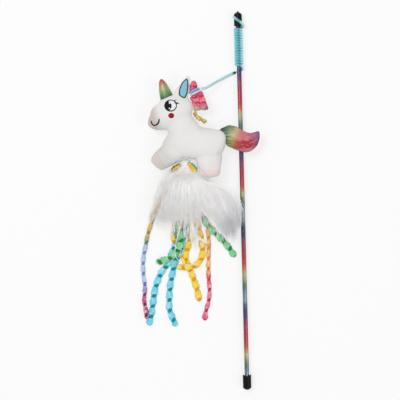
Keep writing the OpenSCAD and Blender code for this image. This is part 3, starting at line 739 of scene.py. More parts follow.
def horn_paint():
    """Metallic fabric: a rainbow along the horn, soft creases with painted highlights along them, and a fine
    weave.
    """
    paint = Paint("horn_fabric", 0.42, Metallic=0.35, Sheen_Weight=0.15, Specular_IOR_Level=0.5)
    u, v = paint.uv()
    cloud = paint.noise(90, 3)
    colour = paint.ramp(paint.calc("ADD", u / HORN_LENGTH, (cloud - 0.5) * 0.22, clamp=True), {
        0.0: "284f3c", 0.2: "416b4a", 0.36: "71905f", 0.52: "9aa872", 0.66: "b09a72",
        0.8: "b9735f", 0.95: "b04f4c"})
    crease = paint.noise(3.0, 3, at=paint.joint(u * 0.05, v * 9.0))
    # pale streaks along the creases: painted highlights
    colour = paint.mix(paint.step(crease, 0.56, 0.72) * 0.35, colour, (0.85, 0.82, 0.8))
    return paint.done(colour, cloud * 0.3 + 0.25, crease + paint.noise(2200, 1) * 0.15, deep=0.6)


def make_horn():
    rows = smooth(HORN_ROWS, 6)

    def profile(i, a, c, s):
        # a flat sewn edge, a hollow beside it, and gathers at the foot
        fold = 1 + 0.025 * math.exp(-i / (0.22 * len(rows))) * math.cos(9 * a + 0.7)
        seam, pinch = 1 + 0.05 * dent(s, 0.14), 1 - 0.12 * dent(abs(s) - 0.3, 0.16)
        return rows[i][2] * c * seam * fold, rows[i][3] * HORN_THICK / 2 * s * pinch * fold

    obj = tube("horn_stuffed", [spot(r[0], r[1]) for r in rows], 40, profile, horn_paint(), (0.5, 0.7))
    dress(obj, "toy", ["horn"])


def tail_paint():
    """Rainbow lame by place: a green gathered foot, tan and salmon above crimson, and a mauve tip; the paler
    upper half is painted light, with painted shade in the foot's pleats and painted glints.
    """
    paint = Paint("tail_fabric", 0.4, Metallic=0.3, Specular_IOR_Level=0.5)
    # a joint bends the tail, so its paint goes by the place at rest, as keep_places() notes it
    paint.place = paint.node("Attribute", out=1, attribute_name=REST_NOTE)
    x, y, _ = paint.parts()
    u, v = paint.uv()
    cloud = paint.noise(110, 3)
    drift = (cloud - 0.5) * 0.009
    along = paint.calc("DIVIDE", x + (y - 0.256) * -0.35 + drift + 0.022, 0.042, clamp=True)
    high = paint.ramp(along, {
        0.0: "4c6f5c", 0.13: "6f8a68", 0.24: "9aa070", 0.34: "cdb58c", 0.46: "cf8a7c",
        0.6: "d87880", 0.76: "c86a88", 0.88: "a0608c", 1.0: "5a4468"})
    low = paint.ramp(along, {
        0.0: "3f6450", 0.13: "5f8058", 0.24: "8a9454", 0.36: "a39a55", 0.47: "b85a48",
        0.56: "b42a3a", 0.78: "ac2238", 0.9: "b04068", 1.0: "6a4468"})
    # the lame's own rainbow, in a paler lit copy for the upper half and a deeper copy for the lower half:
    # painted light and shade
    colour = paint.mix(paint.step(y + x * 0.1 + drift, 0.2525, 0.2575), low, high)
    hem = paint.under(y + cloud * 0.001, 0.2438, 0.2458)
    colour = paint.mix(hem * 0.55, colour, "e8a0a4")
    piping = paint.under(abs(paint.calc("SINE", v * FULL)), 0.1, 0.2)
    colour = paint.mix(piping * 0.6, colour, "4a3038")
    pleats = paint.calc("SINE", (v + cloud * 0.02) * (FULL * TAIL_PLEATS))
    # the hollows between the foot's pleats are painted dark green: painted shade
    colour = paint.mix(paint.under(u, 1.5, 9.0) * paint.step(pleats, 0.2, 0.9), colour, "16301f")
    glint = paint.step(paint.noise(2.2, 2, at=paint.joint(u * 0.06, v * 9.0)), 0.5, 0.75)
    colour = paint.mix(glint * 0.4, colour, (0.8, 0.66, 0.64))
    return paint.done(colour, cloud * 0.3 + 0.34, paint.noise(260, 3) + paint.noise(2200, 1) * 0.15, deep=0.6)


def tail_shape(run, a):
    """A sewn edge with piping, a hollow beside it, pleats at the foot and soft wrinkles."""
    c, s = math.cos(a), math.sin(a)
    pleat = math.exp(-run / 7) * 0.09 * math.cos(TAIL_PLEATS * a + 0.7)
    wrinkle = 0.05 * noise.noise(Vector((run * 0.16, 2.4 * c, 2.4 * s)))
    pinch = 1 - 0.13 * dent(abs(s) - 0.32, 0.17)
    return 1 + 0.05 * dent(s, 0.13) + 0.4 * pleat, pinch * (1 + pleat + wrinkle)


def make_tail():
    obj = ringed_form("tail_stuffed", TAIL_RINGS, 6, 48, tail_shape, (0.4, 0.8), tail_paint())
    keep_places(obj)
    dress(obj, nodes=["tail"])
    spot(-18.5, -68.9)
    spot(-12.8, -66.5)
    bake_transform(obj)


# Face: thin prints and stitches laid on the body's own skin
EYE, EYE_R = (-72.7, -34.2), (6.6, 6.4)
CHEEK = (-72.3, -44.7)
LASHES = [((-68.6, -31.6), (-66.8, -30.2)), ((-69.2, -30.2), (-66.3, -28.0)), ((-68.0, -32.6), (-64.6, -31.0)),
          ((-67.4, -33.0), (-63.6, -32.4))]
SMILE = [(-93.5, -49.2), (-92.6, -52.2), (-90.2, -54.1), (-87.4, -53.2), (-85.4, -50.6), (-85.1, -47.6)]
PATCH_HEIGHT = 0.25
SKY_Z = 40  # above every part of the toy
THREADS = 14000.0  # how close satin stitches lie, radians for each metre
# Left and right edges of the ear's lining, from its tip to its foot
LINING_LEFT = [(-55.3, -6.9), (-59.2, -10.2), (-62.3, -16), (-63.4, -22.4), (-60.8, -25.2)]
LINING_RIGHT = [(-54.9, -7.2), (-54.4, -11), (-54.6, -16.4), (-55.6, -21.5), (-58.2, -26.2)]
LINING_COLUMNS = 9


def surface_of(obj):
    return BVHTree.FromObject(obj, bpy.context.evaluated_depsgraph_get())


def on_skin(tree, x, y, lift):
    """The place on the skin above (x, y) in the toy's frame, raised by lift mm."""
    hit, normal, _, _ = tree.ray_cast(Vector(spot(x, y, SKY_Z)), Vector((0, 0, -1)))
    return spot(x, y) if hit is None else np.array(hit + normal * lift * MM)


def disc(name, tree, centre, radii, lift, material, rings=7, count=40):
    """A round patch that follows the skin, with a rolled edge."""
    verts = [on_skin(tree, *centre, lift + PATCH_HEIGHT)]
    levels = [(r / rings, lift + PATCH_HEIGHT * (1 - (r / rings) ** 6)) for r in range(1, rings + 1)]
    for share, up in levels + [(1, -0.4)]:
        for k in range(count):
            a = 2 * math.pi * k / count
            x, y = centre[0] + radii[0] * share * math.cos(a), centre[1] + radii[1] * share * math.sin(a)
            verts.append(on_skin(tree, x, y, up))
    around = [(k, (k + 1) % count) for k in range(count)]
    faces = [(0, 1 + j, 1 + k) for j, k in around]
    for base in range(1, 1 + rings * count, count):
        faces += [(base + j, base + count + j, base + count + k, base + k) for j, k in around]
    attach(mesh_object(name, verts, faces, None, material), "toy")


def stitch_line(name, tree, points, width, material, lift=0.1, closed=False):
    """A raised line of thread on the skin."""
    line = smooth(points + points[:1] if closed else points, 6)
    ends = len(line) - 1

    def profile(i, a, c, s):
        taper = 1.0 if closed else min(1.0, 0.45 + 0.9 * min(i, ends - i) / 6)
        return width / 2 * taper * c, width / 2 * 0.6 * taper * s

    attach(tube(name, [on_skin(tree, x, y, lift) for x, y in line], 8, profile, material), "toy")


def thread_paint(name, colour, dark):
    """Satin stitches: fine parallel threads."""
    paint = Paint(name, 0.5, Sheen_Weight=0.05, Specular_IOR_Level=0.15)
    x, y, _ = paint.parts()
    lay = paint.calc("SINE", (x + y * 0.4) * THREADS)
    return paint.done(paint.mix(paint.noise(500, 2), dark, colour), bump=lay, strength=0.25, deep=0.1)


def make_face(tree):
    black = thread_paint("black_thread", "101013", "040405")
    white = thread_paint("white_thread", (0.9, 0.9, 0.9), (0.8, 0.8, 0.8))
    red = thread_paint("red_thread", "bc1420", "900c18")
    maroon = thread_paint("maroon_thread", "6a2228", "4c161a")
    x, y = EYE
    disc("eye_rim", tree, EYE, EYE_R, 0.0, black)
    disc("eye_white", tree, (x + 0.15, y + 0.05), (EYE_R[0] - 1.05, EYE_R[1] - 1.05), 0.14, white)
    disc("pupil", tree, (x - 2.5, y - 0.2), (4.0, 4.7), 0.3, black)
    disc("glint", tree, (x - 0.7, y + 2.7), (1.2, 1.1), 0.5, white, 3, 16)
    disc("glint_low", tree, (x - 1.2, y - 2.9), (0.85, 0.7), 0.5, white, 3, 16)
    for i, (a, b) in enumerate(LASHES):
        middle = ((a[0] + b[0]) / 2 - 0.2, (a[1] + b[1]) / 2 + 0.2)
        stitch_line(f"lash_{i}", tree, [a, middle, b], 0.8, black)
    disc("cheek_rim", tree, CHEEK, (3.1, 2.8), 0.0, maroon, 5, 28)
    disc("cheek", tree, CHEEK, (2.6, 2.3), 0.12, red, 5, 28)
    stitch_line("smile", tree, SMILE, 1.5, black, lift=0.2)


def lining_paint():
    paint = Paint("ear_lining_print", 0.6, Sheen_Weight=0.2)
    return paint.done(paint.mix(paint.noise(300, 3), "6aaac4", "9ad0e2"), None, paint.noise(1800, 2), 0.3, 0.2)


def make_ear_lining(tree):
    n = LINING_COLUMNS
    verts, faces = [], []
    for i, (a, b) in enumerate(zip(smooth(LINING_LEFT, 5), smooth(LINING_RIGHT, 5))):
        for c in range(n):
            x, y = a + (b - a) * (c / (n - 1))
            verts.append(on_skin(tree, x, y, 0.4 if 0 < c < n - 1 else -0.2))
        if i:
            faces += [(p - n, p, p + 1, p + 1 - n) for p in range(i * n, i * n + n - 1)]
    obj = mesh_object("ear_lining_print", verts, faces, None, lining_paint())
    dress(obj, "toy", nodes=["ear_lining"])
    teal = thread_paint("teal_thread", "1f4f58", "0f2c34")
    stitch_line("ear_outline", tree, LINING_LEFT + LINING_RIGHT[::-1], 1.15, teal, lift=0.35, closed=True)


# The mane's curls
WAIST_R, CURL_THICK = 4.0, 10
TOP_CROWN = [(0.3, 3.2, 3.9), (0.6, 5.9, 3.5), (0.9, 8.1, 2.3)]
# Each ring of a hanging curl: x and y of its right edge, x and y of its left edge, and its half height
FRONT_CURL = [
    (-46.9, -22.4, -50.6, -24.2, 1.8), (-45.5, -23.1, -52.2, -26.2, 3.1), (-43.9, -27.2, -51.2, -29.4, 3.8),
    (-42.9, -31.2, -49.9, -32.6, 4.3), (-42.1, -35, -49.2, -35.9, 4.7), (-41.3, -38, -48.9, -38.5, 4.4),
    (-41.8, -39.2, -47.9, -39.7, 2.6),
]
REAR_CURL = [
    (-40.9, -19.3, -44.6, -21.2, 1.8), (-39.2, -20.1, -45.1, -22.8, 3.2), (-37.6, -24.2, -43.5, -26.9, 4.0),
    (-36, -28.8, -42.5, -30.9, 4.3), (-34.6, -33.4, -41.7, -34.8, 4.7), (-33.4, -37.4, -40.9, -38.2, 4.4),
    (-33.9, -38.9, -40.3, -39.5, 2.6),
]
# A fold of the same fabric joins the two hanging curls
MANE_FOLD = [
    (-44.2, -21.6, -46.4, -22.6, 1.4), (-43, -25, -45.2, -25.4, 2.2), (-42, -29.6, -44.2, -30, 2.4),
    (-41.2, -33.8, -43.2, -34.1, 2.6), (-40.5, -37, -42.2, -37.3, 2.4),
]
# Painted shade in the mane's folds, as dark crescents: middle, half width and half height, and whether they
# open up (1) or down (-1)
CRESCENTS = [
    (-47.9, -25.2, 3.1, 2.5, 1), (-40.5, -23.6, 3.1, 2.6, 1), (-44.4, -32.6, 3.1, 2.2, -1),
    (-37.8, -32.4, 3.1, 2.2, -1), (-46.8, -13.4, 2.8, 2.6, 1),
]


def mane_paint():
    """Pink plush with dark crescents of painted shade in its folds, tan patches and a green and purple hem, by
    place.
    """
    paint = Paint("pink_mane_fabric", 0.5, Sheen_Weight=0.2)
    x, y, _ = paint.parts()
    wander = (paint.noise(260, 3) - 0.5) * 0.6

    def spread(cx, cy, rx, ry):
        """0 in the middle of an oval, 1 on its edge."""
        here = spot(cx, cy)
        dx, dy = (x - here[0]) / (rx * MM), (y - here[1]) / (ry * MM)
        return dx * dx + dy * dy + wander

    dark = None
    for cx, cy, rx, ry, way in CRESCENTS:
        cut = paint.step(spread(cx - 0.2 * rx, cy + way * 0.75 * ry, rx, ry), 0.6, 1.0)
        crescent = paint.under(spread(cx, cy, rx, ry), 0.7, 1.1) * cut
        dark = paint.calc("MAXIMUM", dark, crescent) if dark else crescent
    colour = paint.mix(paint.step(paint.noise(190, 3), 0.42, 0.62), "ea5a84", "f6a0b0")
    upper = paint.step(y + wander * 0.004, (EXIT_Y - 31) * MM, (EXIT_Y - 24) * MM)
    colour = paint.mix(upper * 0.75, colour, "e63c72")
    # the dark crescents: painted shade in the mane's folds
    colour = paint.mix(dark * 0.9, colour, "a31042")
    tan = paint.under(spread(-37.4, -27.6, 2.2, 3.2), 0.5, 1.2)
    tan = paint.calc("MAXIMUM", tan, paint.step(paint.noise(330, 2), 0.64, 0.74))
    colour = paint.mix(tan * 0.6, colour, "eab07c")
    hem = paint.under(y + wander * 0.003, (EXIT_Y - 37.2) * MM, (EXIT_Y - 34.6) * MM)
    tint = paint.mix(paint.step(x + wander * 0.002, -0.0385, -0.036), "a8b890", "75608c")
    colour = paint.mix(hem * 0.85, colour, tint)
    return paint.done(colour, bump=dark + paint.noise(1500, 2), strength=0.4, deep=0.4)


def curl_shape(run, a):
    """Soft folds across a hanging curl of fabric."""
    c, s = math.cos(a), math.sin(a)
    fold = 0.14 * math.sin(run * 0.85 + 1.4 * c) + 0.1 * noise.noise(Vector((run * 0.3, 2 * c, 2 * s)))
    return 1 + 0.05 * math.sin(run * 0.85), 1 + fold


def curl_mesh(name, rows, steps, material, seed, noses, lumps=0.16):
    """A soft curl that is creased along its length, from rows of x, y, z and radius."""
    rows = smooth(rows, steps)

    def profile(i, a, c, s):
        r = rows[i][3]
        lump = lumps * noise.noise(Vector((2.2 * c, 2.2 * s, 0.35 * i + seed)))
        swell = 1 + lump - 0.08 * (0.5 + 0.5 * math.cos(5 * a + 0.5 * i))
        return r * c * swell, min(r, CURL_THICK / 2) * s * swell

    return tube(name, [spot(*r[:3]) for r in rows], 28, profile, material, noses)


def make_mane():
    material = mane_paint()
    rows = [(*(TIE_CENTRE + TIE_AXIS * s), WAIST_R) for s in (-3.4, 0, 3)]
    x, y, z = TIE_CENTRE + TIE_AXIS * 3
    rows += [(x + dx, y + dy, z, r) for dx, dy, r in TOP_CROWN]
    top = curl_mesh("mane_top", rows, 5, material, 1.0, (1, 1.2))
    hanging = (("mane_front", FRONT_CURL, 32), ("mane_rear", REAR_CURL, 32), ("mane_fold", MANE_FOLD, 20))
    front, rear, fold = [
        ringed_form(name, rings, 5, sides, curl_shape, (0.3, 0.4), material) for name, rings, sides in hanging
    ]
    dress(fold, "toy")
    for obj, node in ((top, "mane_top_curl"), (front, "mane_front_curl"), (rear, "mane_rear_curl")):
        dress(obj, "toy", [node])


# A strip of curly yellow plush by the mane: x, y and radius
YELLOW_STRIP = [
    (-46.6, -40.7, 1.2), (-47.3, -42.8, 1.6), (-46.8, -45, 1.2), (-45, -46.8, 1.5), (-42.6, -48.2, 1.8),
    (-40.4, -49.4, 1.3), (-38.2, -50.8, 1.8), (-36.7, -52.2, 1.6),
]
STRIP_SWELL = 1.25


def make_yellow_strip():
    paint = Paint("yellow_strip_plush", 0.6, Sheen_Weight=0.4)
    colour = paint.mix(paint.step(paint.noise(420, 3), 0.4, 0.62), "bd9440", "efd988")
    paint.done(colour, bump=paint.noise(1200, 3), deep=0.4)
    rows = [(x, y, MID_Z, r * STRIP_SWELL) for x, y, r in YELLOW_STRIP]
    obj = curl_mesh("mane_yellow_curl", rows, 8, paint.mat, 3.0, (0.6, 0.8), lumps=0.6)
    dress(obj, "toy", ["mane_yellow_strip"])


# Twisted plush ribbons: routes in mm in the toy's frame, as in the CAD source. A point without a height
# lies LOW_Z over the table
ROOT_X, ROOT_STEP, ROOT_Y, ROOT_Z = -66.3, 2.1, -96.5, MID_Z - 2.6
LOW_Z, HIGH_Z = 1.8, 5.7
RIBBON_W, ROLLED_W, RIBBON_THICK, ROOT_W, TWIST = 6.4, 4.4, 3.6, 1.7, 11.0
SPOT_SHIFT = 2.2  # the dark spots come this much before each half twist's middle
END_LENGTH = 2.5  # the rounded end of a ribbon
RIBBON_REST = 0.05  # how far a ribbon's flat side lies over the table
GREEN_RIGHT_LOW = [(-40.6, -153.7, HIGH_Z), (-31.8, -165.9, HIGH_Z), (-23.5, -174.5, 4.9), (-16, -183.5, 2.5),
                   (-9.4, -193.7)]
# The colours of a ribbon's face and of the painted shade at its twists: one, or stops along its length
TONES = {
    "blue": ({0.0: "bfe6ee", 0.2: "8ee2f0", 1.0: "6edaf2"}, "058690"),
    "green": ("84d898", "1f8040"),
    "yellow": ("ffdb40", "e6a008"),
    "left": ({0.0: "e6dcae", 0.46: "dcc474", 0.53: "a9a886", 0.57: "b4c8e8", 0.76: "c0cef0", 0.82: "a49ad0",
              0.87: "c85a8c", 1.0: "c03a6c"},
             {0.0: "c9b86a", 0.46: "a08c40", 0.53: "5c6c78", 0.57: "6f8cc0", 0.76: "6c80c0", 0.82: "5a4a98",
              0.87: "7a2248", 1.0: "5e1836"}),
    "pink": ({0.0: "f4d08a", 0.35: "f2bc5c", 0.68: "f2b860", 0.74: "ea5068", 0.8: "f28ea4", 1.0: "ee6088"},
             {0.0: "e0a838", 0.66: "d88c30", 0.74: "cc3e50", 0.8: "c02a4c", 1.0: "b82450"}),
}
# Each ribbon: name, place in the binding, body, slot, colours, width, how much its end widens, and its route.
# The two without a place are parts of the yellow loop that show beside the green curl
RIBBONS = [
    ("left", 0, "left_ribbon", "ribbon_left", "left", ROLLED_W, 0.0, [
        (-72, -104.5, 7.6), (-81.5, -113.5, 3.1), (-89.3, -128, 2.1), (-93.3, -147.5), (-99.7, -165.8),
        (-103.2, -181), (-105.8, -193), (-106.3, -207), (-104.8, -223), (-105.8, -237), (-104.8, -244.5, 3.6),
        (-104.2, -250, 5.7), (-104, -256.5, 6)]),
    ("blue_outer", 1, "plume", "ribbon_blue", "blue", RIBBON_W, 0.0, [
        (-68, -106, 7), (-71.5, -115, 3), (-74.7, -128), (-72.7, -144), (-68.7, -160), (-70.2, -174),
        (-74.7, -186), (-79.7, -198.5), (-88.9, -211.3), (-94.2, -226.3), (-97.2, -243), (-99.1, -253.2),
        (-101.5, -263.3)]),
    ("blue_inner", 2, "plume", "ribbon_blue", "blue", RIBBON_W, 0.0, [
        (-64.5, -107, 7), (-65.7, -116, 2.9), (-67, -128), (-65.3, -144), (-61.7, -160), (-63, -174),
        (-67.6, -187.5), (-72.8, -199.5), (-76, -211.6), (-78.4, -223.5), (-79.4, -234.6), (-79.7, -246.6),
        (-76.9, -255.8), (-73.1, -264.9)]),
    ("green_curl", 3, "plume", "ribbon_green", "green", RIBBON_W, 0.35, [
        (-61.3, -107, 9), (-61.5, -118, 6.5), (-60.5, -131, HIGH_Z), (-63, -146, HIGH_Z), (-67, -163, HIGH_Z),
        (-66, -177, HIGH_Z), (-71.5, -187.5, HIGH_Z), (-78.5, -193.6, HIGH_Z), (-86, -196, 4.8),
        (-91.5, -198, 2.2)]),
    ("yellow_leg", 4, "plume", "ribbon_yellow", "yellow", RIBBON_W, 0.0, [
        (-57.8, -107, 7), (-57.6, -117, 2.9), (-57.5, -130), (-56.5, -146), (-54.3, -161), (-55.6, -174),
        (-59.8, -185.5), (-61.3, -195), (-57, -205.5), (-53, -217.2), (-50.1, -227.4), (-47.9, -239.5)]),
    ("yellow_arch", 5, "plume", "ribbon_yellow", "yellow", RIBBON_W, 0.0, [
        (-53.5, -107, 7), (-51.3, -117, 2.9), (-49.8, -130), (-48, -145), (-47.2, -160), (-44.5, -175),
        (-43.1, -186.6), (-45.6, -196, 3), (-52, -202, HIGH_Z), (-60, -203.6, HIGH_Z), (-66, -203.2, HIGH_Z),
        (-70.4, -202.6, HIGH_Z)]),
    ("yellow_top", None, "plume", "ribbon_yellow", "yellow", ROLLED_W, 0.3, [
        (-71.5, -152, 8.6), (-73.6, -161, 6.6), (-74.6, -169, HIGH_Z), (-73.4, -177.5, HIGH_Z)]),
    ("yellow_low", None, "plume", "ribbon_yellow", "yellow", ROLLED_W, 0.3, [
        (-67.4, -189, 6.2), (-65.8, -192.4, HIGH_Z), (-64, -196.2, HIGH_Z), (-62.6, -200.4, HIGH_Z)]),
    ("pink", 6, "pink_ribbon", "ribbon_pink", "pink", ROLLED_W, 0.3, [
        (-49.5, -106.5, 7), (-45.5, -116.5, 2.7), (-41.7, -130), (-39.5, -145), (-37.7, -160), (-36.6, -176),
        (-37.2, -194.5), (-37.6, -210.6), (-37.2, -222.6), (-37.1, -230.6), (-38.4, -240.7), (-41.2, -249.6),
        (-42.9, -259.7)]),
    ("green_right", 7, "green_ribbon", "ribbon_green", "green", RIBBON_W, 0.0, [
        (-45.5, -106, 9.2), (-41, -116, 6.7), (-38.5, -129, HIGH_Z), (-39.5, -142, HIGH_Z), *GREEN_RIGHT_LOW]),
]


def ribbon_paint(name, face, back, length):
    """Plush ribbon: a dark spot of painted shade at each half twist, where it turns over, with pale flecks of
    paler tips and painted highlights on its pile.
    """
    paint = Paint(name, 0.65, Sheen_Weight=0.4, Sheen_Roughness=0.4, Specular_IOR_Level=0.25)
    u, v = paint.uv()
    run = paint.calc("DIVIDE", u + paint.noise(420, 2) * 5.0, length + END_LENGTH, clamp=True)
    light, dark = paint.ramp(run, face), paint.ramp(run, back)
    rag = (paint.noise(620, 2) - 0.5) * 1.5
    along = (paint.calc("FRACT", (u + SPOT_SHIFT) / TWIST) - 0.5) * 3.7
    spots = []
    for side in (0.27, 0.77):
        across = (v - side) * 4.3
        slant = along + across * 0.35
        spots.append(paint.under(slant * slant + across * across + rag * 0.45, 0.22, 0.7))
    # pale flecks on the pile: partly its paler tips, partly painted highlights
    colour = paint.mix(paint.step(paint.noise(300, 3), 0.5, 0.68) * 0.45, light, (0.9, 0.95, 0.96))
    # dark flecks: painted shade between the pile's tufts
    colour = paint.mix(paint.step(paint.noise(700, 2), 0.58, 0.7) * 0.3, colour, dark)
    # the dark spots at each half twist: painted shade where the ribbon turns over
    colour = paint.mix(paint.calc("MAXIMUM", *spots), colour, dark)
    return paint.done(colour, bump=paint.noise(1100, 3, 0.7), strength=0.6, deep=0.5)


def ribbon_half(run, total, width, knot):
    """Half width at a place along a ribbon: gathered at its root, pinched at each twist, rounded at its end.
    knot widens the last few millimetres."""
    half = min(width / 2, ROOT_W / 2 + 0.075 * run)
    to_spot = abs(((run + SPOT_SHIFT) / TWIST) % 1 - 0.5) * TWIST
    half *= (1.03 - 0.14 * dent(to_spot, 2.2)) * (1 + knot * dent(total - run - 3.2, 3.4))
    if total - run < END_LENGTH:
        half *= 0.45 + 0.55 * math.sqrt(max(total - run, 0) / END_LENGTH)
    return half


def make_ribbon(short, place, body, slot, tones, width, knot, route):
    """A plush ribbon twisted along its route: an oval section whose ragged pile narrows at each half twist."""
    name = "streamer_" + short
    root = [] if place is None else [(ROOT_X + ROOT_STEP * place, ROOT_Y, ROOT_Z)]
    line, run = respaced(smooth([(*p, LOW_Z)[:3] for p in root + route], 8), 0.6)
    total = run[-1]
    seed = sum(map(ord, name))

    def profile(i, a, c, s):
        far = run[i]
        half = ribbon_half(far, total, width, knot)
        tuft = noise.noise(Vector((far * 1.1, 2.6 * c + seed, 2.6 * s)))
        wave = noise.noise(Vector((far * 0.33, 1.2 * c, 1.2 * s + seed)))
        ridge = 0.1 * math.cos(2 * a + math.pi * 2 * far / TWIST) + 0.22 * tuft + 0.16 * wave
        swell = 1 + min(1.0, far / 25) * ridge
        return half * c * swell, min(half * 0.85, RIBBON_THICK / 2) * s * swell

    material = ribbon_paint(name + "_plush", *TONES[tones], total)
    obj = tube(name, [spot(*p) for p in line], 24, profile, material, (0.3, 0.6))
    rest_on(obj, (TABLE_Z + RIBBON_REST) * MM)
    dress(obj, body, [] if place is None else ["ribbon_" + short])


# The plume
# The thread binding: y, half width, and half height as a share
BINDING_ROWS = [(2.4, 1.8, 0.4), (1.3, 4, 0.8), (-0.6, 5.6, 1), (-2.4, 5.4, 0.9), (-3.2, 4, 0.7)]
BINDING_THICK = 10
WRAPS = 9000.0  # how close the binding's thread lies, radians for each metre
# Folds of ribbon that show at the belly: name, width, which way round the dark back lies, route over the down,
# two colours of the face and one of the back
FOLD_Z, FOLD_DROP = 19.6, 0.35  # how high the folds start, and how much lower each point lies
BELLY_FOLDS = [
    ("left", 4.8, 1, [(-63.8, -95.8), (-67.2, -97.5), (-70.6, -99.8), (-73.2, -102.2)],
     ("e9d488", "c9a050", "6e4a2a")),
    ("right", 6.2, -1, [(-56.2, -94.3), (-53, -97.3), (-50.1, -100.4), (-47.9, -104)],
     ("f6de50", "f0a838", "4cae62")),
]
# The fan of down: guide lines from the binding to the tips, from its left edge to its right edge
FAN_GUIDES = [
    [(-65.3, -97), (-74, -102.4), (-83, -107.9), (-89.5, -121), (-94, -138), (-97.5, -154)],
    [(-64.2, -97), (-71.5, -103.5), (-79, -113), (-85.2, -128), (-89, -143), (-90.8, -157)],
    [(-62.8, -97), (-67.5, -104.5), (-72.5, -117), (-77, -133), (-79.5, -146), (-80.3, -158)],
    [(-61, -97), (-63.5, -105), (-65.8, -119), (-68, -134), (-69, -148), (-69.4, -161)],
    [(-58.8, -97), (-58.6, -105), (-58.2, -119), (-57.4, -134), (-56.6, -147), (-56.1, -160)],
    [(-56.6, -97), (-54.6, -105), (-50.8, -119), (-47, -133), (-43.8, -146), (-41.6, -158)],
    [(-54.6, -97), (-51, -105), (-44.2, -117), (-37, -133), (-31, -153), (-26.5, -177)],
    [(-53.2, -97), (-48.5, -105), (-40, -114.5), (-28, -129), (-19.5, -152), (-14, -179)],
    [(-52.2, -97), (-47, -105), (-40.5, -112.4), (-25, -117.8), (-9.5, -128), (-2.4, -146), (-3.4, -171)],
]
GRID_STEPS = 40
DOWN_LOW = 8.3  # the lowest down lies over the ribbons and the rod
FAN_Z, FAN_Z_MORE = 12.6, 2.4  # height of the fan's middle, and how much more it has at the binding
FAN_HALF, FAN_HALF_MORE = 1.9, 2.2  # half thickness at the binding, and how much more further down
DOWN_SIDE, DOWN_UP, DOWN_UNDER = 0.45, 0.8, -0.5  # shading: how much of its own side, and how much up or down
# Locks that hang out of the fan: place of the tip, and where across the fan the lock leaves it
LOCKS = [
    (-72.5, -175, 0.3), (-60.5, -183, 0.46), (-49.5, -187, 0.56), (-88, -163, 0.12), (-37, -184, 0.68),
    (-26, -184, 0.78), (-9, -178, 0.93), (-66, -170, 0.38), (-33.5, -181, 0.64), (-31, -177, 0.655),
    (-43, -172, 0.61), (-80, -166, 0.2), (-19, -182, 0.86), (-98, -162, 0.02),
]
# Wisps over the ribbons, along routes seen in the photograph: route, how many strands, and how far they spread
WISPS = [
    ([(-62, -146), (-66.4, -162), (-70.5, -177)], 14, 0.45),
    ([(-61, -150), (-62.4, -163), (-61.6, -172)], 10, 0.4),
    ([(-54, -146), (-52.6, -161), (-49, -171), (-36.5, -179)], 30, 0.95),
    ([(-52.6, -150), (-53.3, -166), (-50.7, -187)], 34, 1.3),
    ([(-70, -150), (-77, -172), (-73, -181), (-64.5, -186)], 7, 0.4),
    ([(-31, -150), (-26, -160), (-28.5, -176)], 12, 0.6),
    ([(-64, -152), (-70, -174), (-71.5, -192), (-58.5, -201), (-39, -199)], 3, 0.15),
    ([(-20, -140), (-6, -150), (-2.5, -162)], 8, 0.9), ([(-94, -140), (-99, -152), (-104, -168)], 6, 0.9),
]
FAN_COUNT, TUFT_COUNT, QUILL_COUNT, LOCK_COUNT = 9000, 3000, 520, 34  # strands; LOCK_COUNT is for each lock
CORE_COLUMNS, CORE_ROWS = 90, 30


def down_paint():
    """White down, with painted light: a brighter, warmer middle, and painted shade, lilac grey, to the lower
    right of the plume.
    """
    paint = Paint("white_down", 0.75, Sheen_Weight=0.3, Sheen_Roughness=0.6, Specular_IOR_Level=0.15)
    x, y, _ = paint.parts()
    cloud = paint.noise(70, 3)
    white = paint.mix(cloud, (0.87, 0.855, 0.85), (0.975, 0.965, 0.96))
    # the lower right of the fan is painted a lilac grey: painted shade
    low = paint.step(x, -0.032, -0.012) * paint.under(y, 0.165, 0.2)
    white = paint.mix(low * 0.7, white, (0.66, 0.66, 0.7))
    # the middle of the fan is painted a brighter, warmer white than its sides: painted light, with a warm tint
    warm = paint.under(abs(x + 0.056) + (cloud - 0.5) * 0.012, 0.008, 0.026)
    white = paint.mix(warm, white, (0.985, 0.97, 0.945))
    # the left streamer's tan shows faintly through the down, along a slanting line
    line = (y - spot(0, -114)[1]) * 0.488 + spot(-77, 0)[0]
    near = paint.under(abs(x - line), 0.0014, 0.0045) * paint.step(paint.noise(90, 2), 0.38, 0.55)
    return paint.done(paint.mix(near * paint.under(y, 0.209, 0.214) * 0.6, white, "dcc39c"))


def quill_paint():
    """The longest barbs are a clearer white."""
    paint = Paint("white_quill", 0.6, Sheen_Weight=0.2, Specular_IOR_Level=0.2)
    return paint.done(paint.mix(paint.noise(60, 2), (0.96, 0.96, 0.96), (0.995, 0.99, 0.98)))


def make_binding():
    paint = Paint("binding_thread", 0.6, Sheen_Weight=0.2)
    x, y, _ = paint.parts()
    wraps = paint.calc("SINE", (y + x * 0.12) * WRAPS)
    paint.done(paint.mix(paint.noise(300, 2), "e6e1d8", "f6f3ee"), bump=wraps, strength=0.6, deep=0.3)
    rows = smooth(BINDING_ROWS, 5)

    def profile(i, a, c, s):
        fold = 1 + 0.05 * math.cos(11 * a)
        return rows[i][1] * c * fold, rows[i][2] * BINDING_THICK / 2 * s * fold

    centres = [spot(PLUME_HINGE[0], PLUME_HINGE[1] + r[0]) for r in rows]
    obj = tube("plume_thread_binding", centres, 32, profile, paint.mat, (0.3, 0.2))
    dress(obj, "plume", ["plume_binding"])


